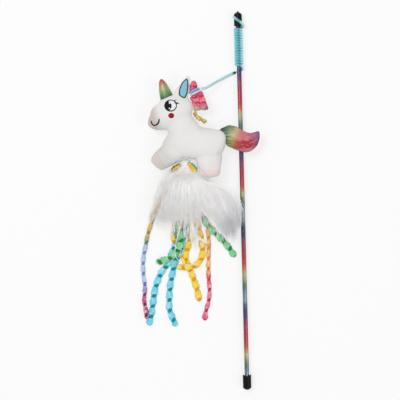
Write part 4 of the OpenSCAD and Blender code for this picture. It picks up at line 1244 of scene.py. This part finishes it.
def belly_paint(name, pale, deep, dark):
    """Plush ribbon whose dark back shows along one side."""
    paint = Paint(name, 0.65, Sheen_Weight=0.4, Sheen_Roughness=0.4)
    _, v = paint.uv()
    back = paint.step(paint.calc("COSINE", v * FULL) + (paint.noise(300, 2) - 0.5) * 0.5, 0.15, 0.6)
    face = paint.mix(paint.step(paint.noise(420, 2), 0.42, 0.6), pale, deep)
    return paint.done(paint.mix(back, face, dark), bump=paint.noise(1000, 3), deep=0.5)


def make_belly_fold(side, width, way, route, tones):
    line, run = respaced(smooth([(x, y, FOLD_Z - FOLD_DROP * k) for k, (x, y) in enumerate(route)], 8), 0.5)

    def profile(i, a, c, s):
        swell = 0.35 + 0.65 * math.sin(math.pi * min(1, run[i] / run[-1])) ** 0.6
        lump = noise.noise(Vector((run[i] * 0.7, 1.5 * c, way * width)))
        crease = 1 + 0.12 * math.sin(run[i] * 2.1 + 2 * a) + 0.3 * lump
        return way * width / 2 * swell * c * crease, swell * s * crease

    name = "belly_fold_" + side
    obj = tube(name, [spot(*p) for p in line], 20, profile, belly_paint(name + "_plush", *tones), (0.3, 0.3))
    dress(obj, "plume")


def fan_grid():
    """Places of the fan in mm: rows go across it, columns go at even steps from the binding to the tips."""
    lines = []
    for guide in FAN_GUIDES:
        fine = smooth(guide, 10)
        run = run_along(fine)
        at = np.linspace(0, run[-1], GRID_STEPS + 1)
        lines.append(np.stack([np.interp(at, run, column) for column in fine.T], axis=1).ravel())
    return smooth(lines, 6).reshape(-1, GRID_STEPS + 1, 2)


def fan_places(grid, across, down, height):
    """Points in metres: across from 0 to 1, down from 0 at the binding to 1 at the tips, height -1 to 1."""
    inside, rows = np.clip(across, 0, 1), len(grid) - 1
    a, f = inside * rows, np.clip(down, 0, 1) * GRID_STEPS
    i, k = np.minimum(a.astype(int), rows - 1), np.minimum(f.astype(int), GRID_STEPS - 1)
    u, v = (a - i)[..., None], (f - k)[..., None]
    here, ahead = grid[i, k], grid[i, k + 1]
    flat = (here * (1 - u) + grid[i + 1, k] * u) * (1 - v) + (ahead * (1 - u) + grid[i + 1, k + 1] * u) * v
    flat = flat + (ahead - here) * GRID_STEPS * np.maximum(down - 1, 0)[..., None]
    flat = flat + (grid[i + 1, k] - here) * ((across - inside) * rows)[..., None]
    middle = FAN_Z + FAN_Z_MORE * (1 - eased(down, 0.0, 0.45))
    thick = (FAN_HALF + FAN_HALF_MORE * eased(down, 0.0, 0.3)) * (1 - 0.5 * eased(down, 0.75, 1.1))
    thick = thick * (1 - 0.6 * np.abs(2 * inside - 1) ** 8)
    z = np.maximum(middle + height * thick, DOWN_LOW)
    return np.stack([flat[..., 0], EXIT_Y + flat[..., 1], TABLE_Z + z], axis=-1) * MM


def strands(name, paths, widths, lean, material):
    """Thin three-sided strands that taper to a point. paths is strands by points by xyz, widths in metres."""
    n, k, _ = paths.shape
    tangent = np.gradient(paths, axis=1)
    tangent /= np.linalg.norm(tangent, axis=2)[..., None] + 1e-12
    side = np.cross(tangent, lean[:, None, :])
    side /= np.linalg.norm(side, axis=2)[..., None] + 1e-12
    rise = np.cross(side, tangent)
    taper = 1 - 0.85 * np.linspace(0, 1, k) ** 1.5
    half = widths[:, None] / 2 * taper[None, :]
    rings = []
    for angle in (90, 210, 330):
        c, s = math.cos(math.radians(angle)), math.sin(math.radians(angle))
        rings.append(paths + (side * c + rise * s * 0.7) * half[..., None])
    body = np.stack(rings, axis=2)[:, :-1].reshape(n, (k - 1) * 3, 3)
    verts = np.concatenate([body, paths[:, -1:]], axis=1)
    pairs = ((0, 1), (1, 2), (2, 0))
    tip = (k - 1) * 3
    one_strand = [(0, 1, 2)]
    for r in range(0, tip - 3, 3):
        one_strand += [(r + p, r + 3 + p, r + 3 + q, r + q) for p, q in pairs]
    one_strand += [(tip - 3 + p, tip, tip - 3 + q) for p, q in pairs]
    faces = [tuple(b + v for v in face) for b in range(0, n * (tip + 1), tip + 1) for face in one_strand]
    obj = mesh_object(name, verts.reshape(-1, 3).tolist(), faces, None, material)
    # down scatters light as one soft surface does, so its shading turns mostly up or mostly down
    mesh = obj.data
    shading = np.empty(len(mesh.polygons) * 3, np.float32)
    mesh.polygons.foreach_get("normal", shading)
    shading = shading.reshape(-1, 3) * DOWN_SIDE
    shading[:, 2] += np.where(shading[:, 2] < 0, DOWN_UNDER, DOWN_UP)
    shading /= np.linalg.norm(shading, axis=1)[:, None]
    corners = np.empty(len(mesh.polygons), np.int32)
    mesh.polygons.foreach_get("loop_total", corners)
    mesh.normals_split_custom_set(np.repeat(shading, corners, axis=0).tolist())
    return obj


def beside(points, route, gap):
    """Which points lie within gap mm of a route, seen from above."""
    line, _ = respaced(smooth([(x, y, 0) for x, y, *_ in route], 8), 1.0)
    flat = points[..., :2] / MM - np.array([0, EXIT_Y])
    near = np.full(flat.shape[:-1], 1e9)
    for q in line:
        near = np.minimum(near, np.hypot(flat[..., 0] - q[0], flat[..., 1] - q[1]))
    return near < gap


def parted(paths, rng):
    """The strands without most of those that would hide the right green ribbon or the folds at the belly."""
    hides = beside(paths, GREEN_RIGHT_LOW, 3.1).any(axis=1) & (rng.uniform(0, 1, len(paths)) < 0.93)
    for _, _, _, route, _ in BELLY_FOLDS:
        over = (beside(paths, route, 1.5) & (paths[..., 2] > (TABLE_Z + 15) * MM)).any(axis=1)
        hides |= over & (rng.uniform(0, 1, len(paths)) < 0.85)
    return paths[~hides]


def fan_strands(grid, rng, count, points):
    """Barbs that lie nearly along the fan, each drifting a little sideways and in height."""
    s = np.linspace(0, 1, points)[None, :]
    first = rng.uniform(-0.01, 1.01, count)
    start = rng.uniform(0, 0.86, count) ** 0.9
    reach = start + rng.uniform(0.14, 0.34, count)
    # the dense down reaches to an edge in waves across the fan
    edge = 0.9 + 0.04 * np.sin(first * 43) + 0.035 * np.sin(first * 97 + 1) + 0.03 * np.sin(first * 23 + 2)
    end = np.maximum(np.minimum(reach, edge + rng.exponential(0.035, count)), start + 0.05)
    drift, sway = rng.normal(0, 0.02, count), rng.normal(0, 0.005, count)
    level = rng.choice([-1.0, 1.0], count, p=[0.35, 0.65]) * rng.uniform(0.66, 0.9, count)
    level = np.where(start > 0.6, level * rng.uniform(0.1, 1, count), level)
    lift = rng.normal(0, 0.06, count)
    down = start[:, None] + (end - start)[:, None] * s
    across = first[:, None] + drift[:, None] * s**1.4 + sway[:, None] * np.sin(5 * s)
    return fan_places(grid, across, down, np.clip(level[:, None] + lift[:, None] * s, -1.15, 1.2))


def lock_strands(grid, rng, points):
    """Long thin locks that leave the fan's edge and draw together to a tip."""
    t = np.linspace(0, 1, points)[:, None]
    paths = []
    for x, y, share in LOCKS:
        for _ in range(LOCK_COUNT):
            a, f = np.array([share + rng.normal(0, 0.022)]), np.array([rng.uniform(0.5, 0.85)])
            first = fan_places(grid, a, f, np.array([rng.uniform(-1, 1)]))[0]
            second = fan_places(grid, a, f + 0.16, np.array([rng.uniform(-1, 0.6)]))[0]
            reach = rng.uniform(0.55, 1.04)
            tip = spot(x + rng.normal(0, 1.0), y + rng.normal(0, 1.2), DOWN_LOW + 0.3 + rng.uniform(0, 2.4))
            tip = second + (tip - second) * reach
            bend = second + (second - first) * 0.7 + np.array([rng.normal(0, 1.2), 0, 0]) * MM
            path = first * (1 - t) ** 3 + 3 * second * t * (1 - t) ** 2
            path = path + 3 * bend * t**2 * (1 - t) + tip * t**3
            path[:, 2] = np.maximum(path[:, 2], (TABLE_Z + DOWN_LOW) * MM)
            paths.append(path)
    return np.array(paths)


def wisp_strands(rng, points):
    """A few long wisps and a fine quill that hang over the ribbons."""
    s = np.linspace(0, 1, points)
    paths = []
    for route, copies, spread in WISPS:
        fine, _ = respaced(smooth([(x, y, 0) for x, y in route], 8), 1.0)
        at = np.linspace(0, 1, len(fine))
        line = np.stack([np.interp(s, at, fine[:, i]) for i in range(2)], axis=1)
        for _ in range(copies):
            place = line + rng.normal(0, spread, 2)[None, :] * (0.4 + 0.6 * np.sin(2.2 * s)[:, None])
            z = DOWN_LOW + 0.3 + rng.uniform(0, 2) + 2.5 * (1 - s) ** 2
            paths.append([spot(x, y, h) for (x, y), h in zip(place, z)])
    return np.array(paths)


def quill_strands(grid, rng, count, points):
    """Long bright barbs that lie on top of the fan and stray a little past its edge."""
    s = np.linspace(0, 1, points)[None, :]
    first = rng.normal(0.55, 0.24, count)
    start = rng.uniform(0.03, 0.45, count)
    end = start + rng.uniform(0.35, 0.62, count)
    end = np.minimum(end, rng.uniform(0.92, 1.08, count))
    drift, sway = rng.normal(0, 0.035, count), rng.normal(0, 0.008, count)
    down = start[:, None] + (end - start)[:, None] * s
    across = np.clip(first, 0.0, 1.0)[:, None] + drift[:, None] * s**1.6 + sway[:, None] * np.sin(6 * s)
    return fan_places(grid, across, down, rng.uniform(0.92, 1.1, count)[:, None] + 0 * s)


def tuft_strands(grid, rng, count, points):
    """Short down that hides the thread binding, from under the belly into the fan."""
    s = np.linspace(0, 1, points)[None, :]
    turn = rng.uniform(-1, 1, count)
    high = rng.uniform(-1, 1, count)
    high = np.sign(high) * np.abs(high) ** 0.5
    x = PLUME_HINGE[0] + 5.8 * turn
    y = PLUME_HINGE[1] + rng.uniform(-4.6, 0.9, count)
    z = MID_Z + (5.4 - 2.2 * turn**2) * high
    first = np.stack([x, EXIT_Y + y, TABLE_Z + z], axis=1) * MM
    across = 0.5 + 0.46 * turn + rng.normal(0, 0.06, count)
    last = fan_places(grid, across, rng.uniform(0.1, 0.4, count), high * 1.08)
    path = first[:, None, :] * (1 - s[..., None]) + last[:, None, :] * s[..., None]
    path[..., 2] += np.sin(s * math.pi) * (high * 1.3 * MM)[:, None]
    path[..., 0] += np.sin(s * 5) * (rng.normal(0, 0.5, count) * MM)[:, None]
    path[..., 2] = np.maximum(path[..., 2], (TABLE_Z + DOWN_LOW) * MM)
    return path


def make_down_core(grid, material):
    """The dense inside of the fan: one closed soft form with fine grooves along the down."""
    columns, rows = CORE_COLUMNS, CORE_ROWS
    a = np.linspace(0.1, 0.975, columns)
    edge = 0.8 + 0.03 * np.sin(a * 61) + 0.03 * np.sin(a * 27 + 1)
    # the edge draws back beside the right green ribbon
    trial = np.linspace(0.5, 0.86, 60)
    for c in range(columns):
        hit = beside(fan_places(grid, np.full(60, a[c]), trial, np.zeros(60)), GREEN_RIGHT_LOW, 4.0)
        if hit.any():
            edge[c] = min(edge[c], trial[hit.argmax()])
    edge = np.convolve(np.pad(edge, 2, mode="edge"), np.ones(5) / 5, mode="valid")
    f = np.linspace(0.03, 1, rows)[None, :] * edge[:, None]
    across = np.repeat(a[:, None], rows, axis=1)
    groove = np.array([[noise.noise(Vector((q * 55, w * 5, 0))) for w in f[0]] for q in a])
    rim = np.minimum(1, np.minimum(np.arange(columns), columns - 1 - np.arange(columns)) / 5)[:, None] ** 0.5
    close = np.minimum(1, (rows - 1 - np.arange(rows)) / 6)[None, :] ** 0.5
    body = 0.72 * rim * close * (1 + 0.3 * groove)
    verts = np.concatenate([fan_places(grid, across, f, way * body).reshape(-1, 3) for way in (1, -1)])
    half = columns * rows
    faces = []
    for i in range(columns - 1):
        for p in range(i * rows, i * rows + rows - 1):
            q = p + rows
            faces += [(p, p + 1, q + 1, q), (half + p, half + q, half + q + 1, half + p + 1)]
    ring = [i * rows for i in range(columns)] + [(columns - 1) * rows + k for k in range(1, rows)]
    ring += [i * rows + rows - 1 for i in range(columns - 2, -1, -1)] + list(range(rows - 2, 0, -1))
    faces += [(p, q, half + q, half + p) for p, q in zip(ring, ring[1:] + ring[:1])]
    return mesh_object("down_core", verts, faces, None, material)


def make_plume():
    soft, bright = down_paint(), quill_paint()
    rng = np.random.default_rng(7)
    grid = fan_grid()
    fan = parted(fan_strands(grid, rng, FAN_COUNT, 7), rng)
    locks = parted(lock_strands(grid, rng, 10), rng)
    wisps = wisp_strands(rng, 16)
    quills = parted(quill_strands(grid, rng, QUILL_COUNT, 14), rng)
    tuft = parted(tuft_strands(grid, rng, TUFT_COUNT, 6), rng)
    # name, strands, least and greatest width in mm, material
    sorts = [("down_fan", fan, 0.22, 0.42, soft), ("down_locks", locks, 0.24, 0.42, soft),
             ("down_quills", quills, 0.3, 0.55, bright), ("down_wisps", wisps, 0.35, 0.6, bright),
             ("down_tuft", tuft, 0.26, 0.46, soft)]
    pieces = []
    for name, paths, thin, wide, material in sorts:
        n = len(paths)
        widths = MM * rng.uniform(thin, wide, n)
        lean = np.stack([rng.uniform(-0.5, 0.5, n), np.full(n, 0.25), np.ones(n)], axis=1)
        pieces.append(strands(name, paths, widths, lean, material))
    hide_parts("feathers_left", "feathers_middle", "feathers_right")
    for piece in [*pieces, make_down_core(grid, soft)]:
        dress(piece, "plume")


make_camera()
make_stage()
make_tether()
make_winding()
make_tie()
paint_node("rod", foil_paint())
rubber = rubber_paint()
paint_node("lower_end_cap", rubber)
paint_node("upper_end_cap", rubber)
body_skin = surface_of(make_body(suede_paint()))
make_face(body_skin)
make_ear_lining(body_skin)
make_horn()
make_tail()
make_mane()
make_yellow_strip()
make_binding()
for ribbon in RIBBONS:
    make_ribbon(*ribbon)
for fold in BELLY_FOLDS:
    make_belly_fold(*fold)
make_plume()
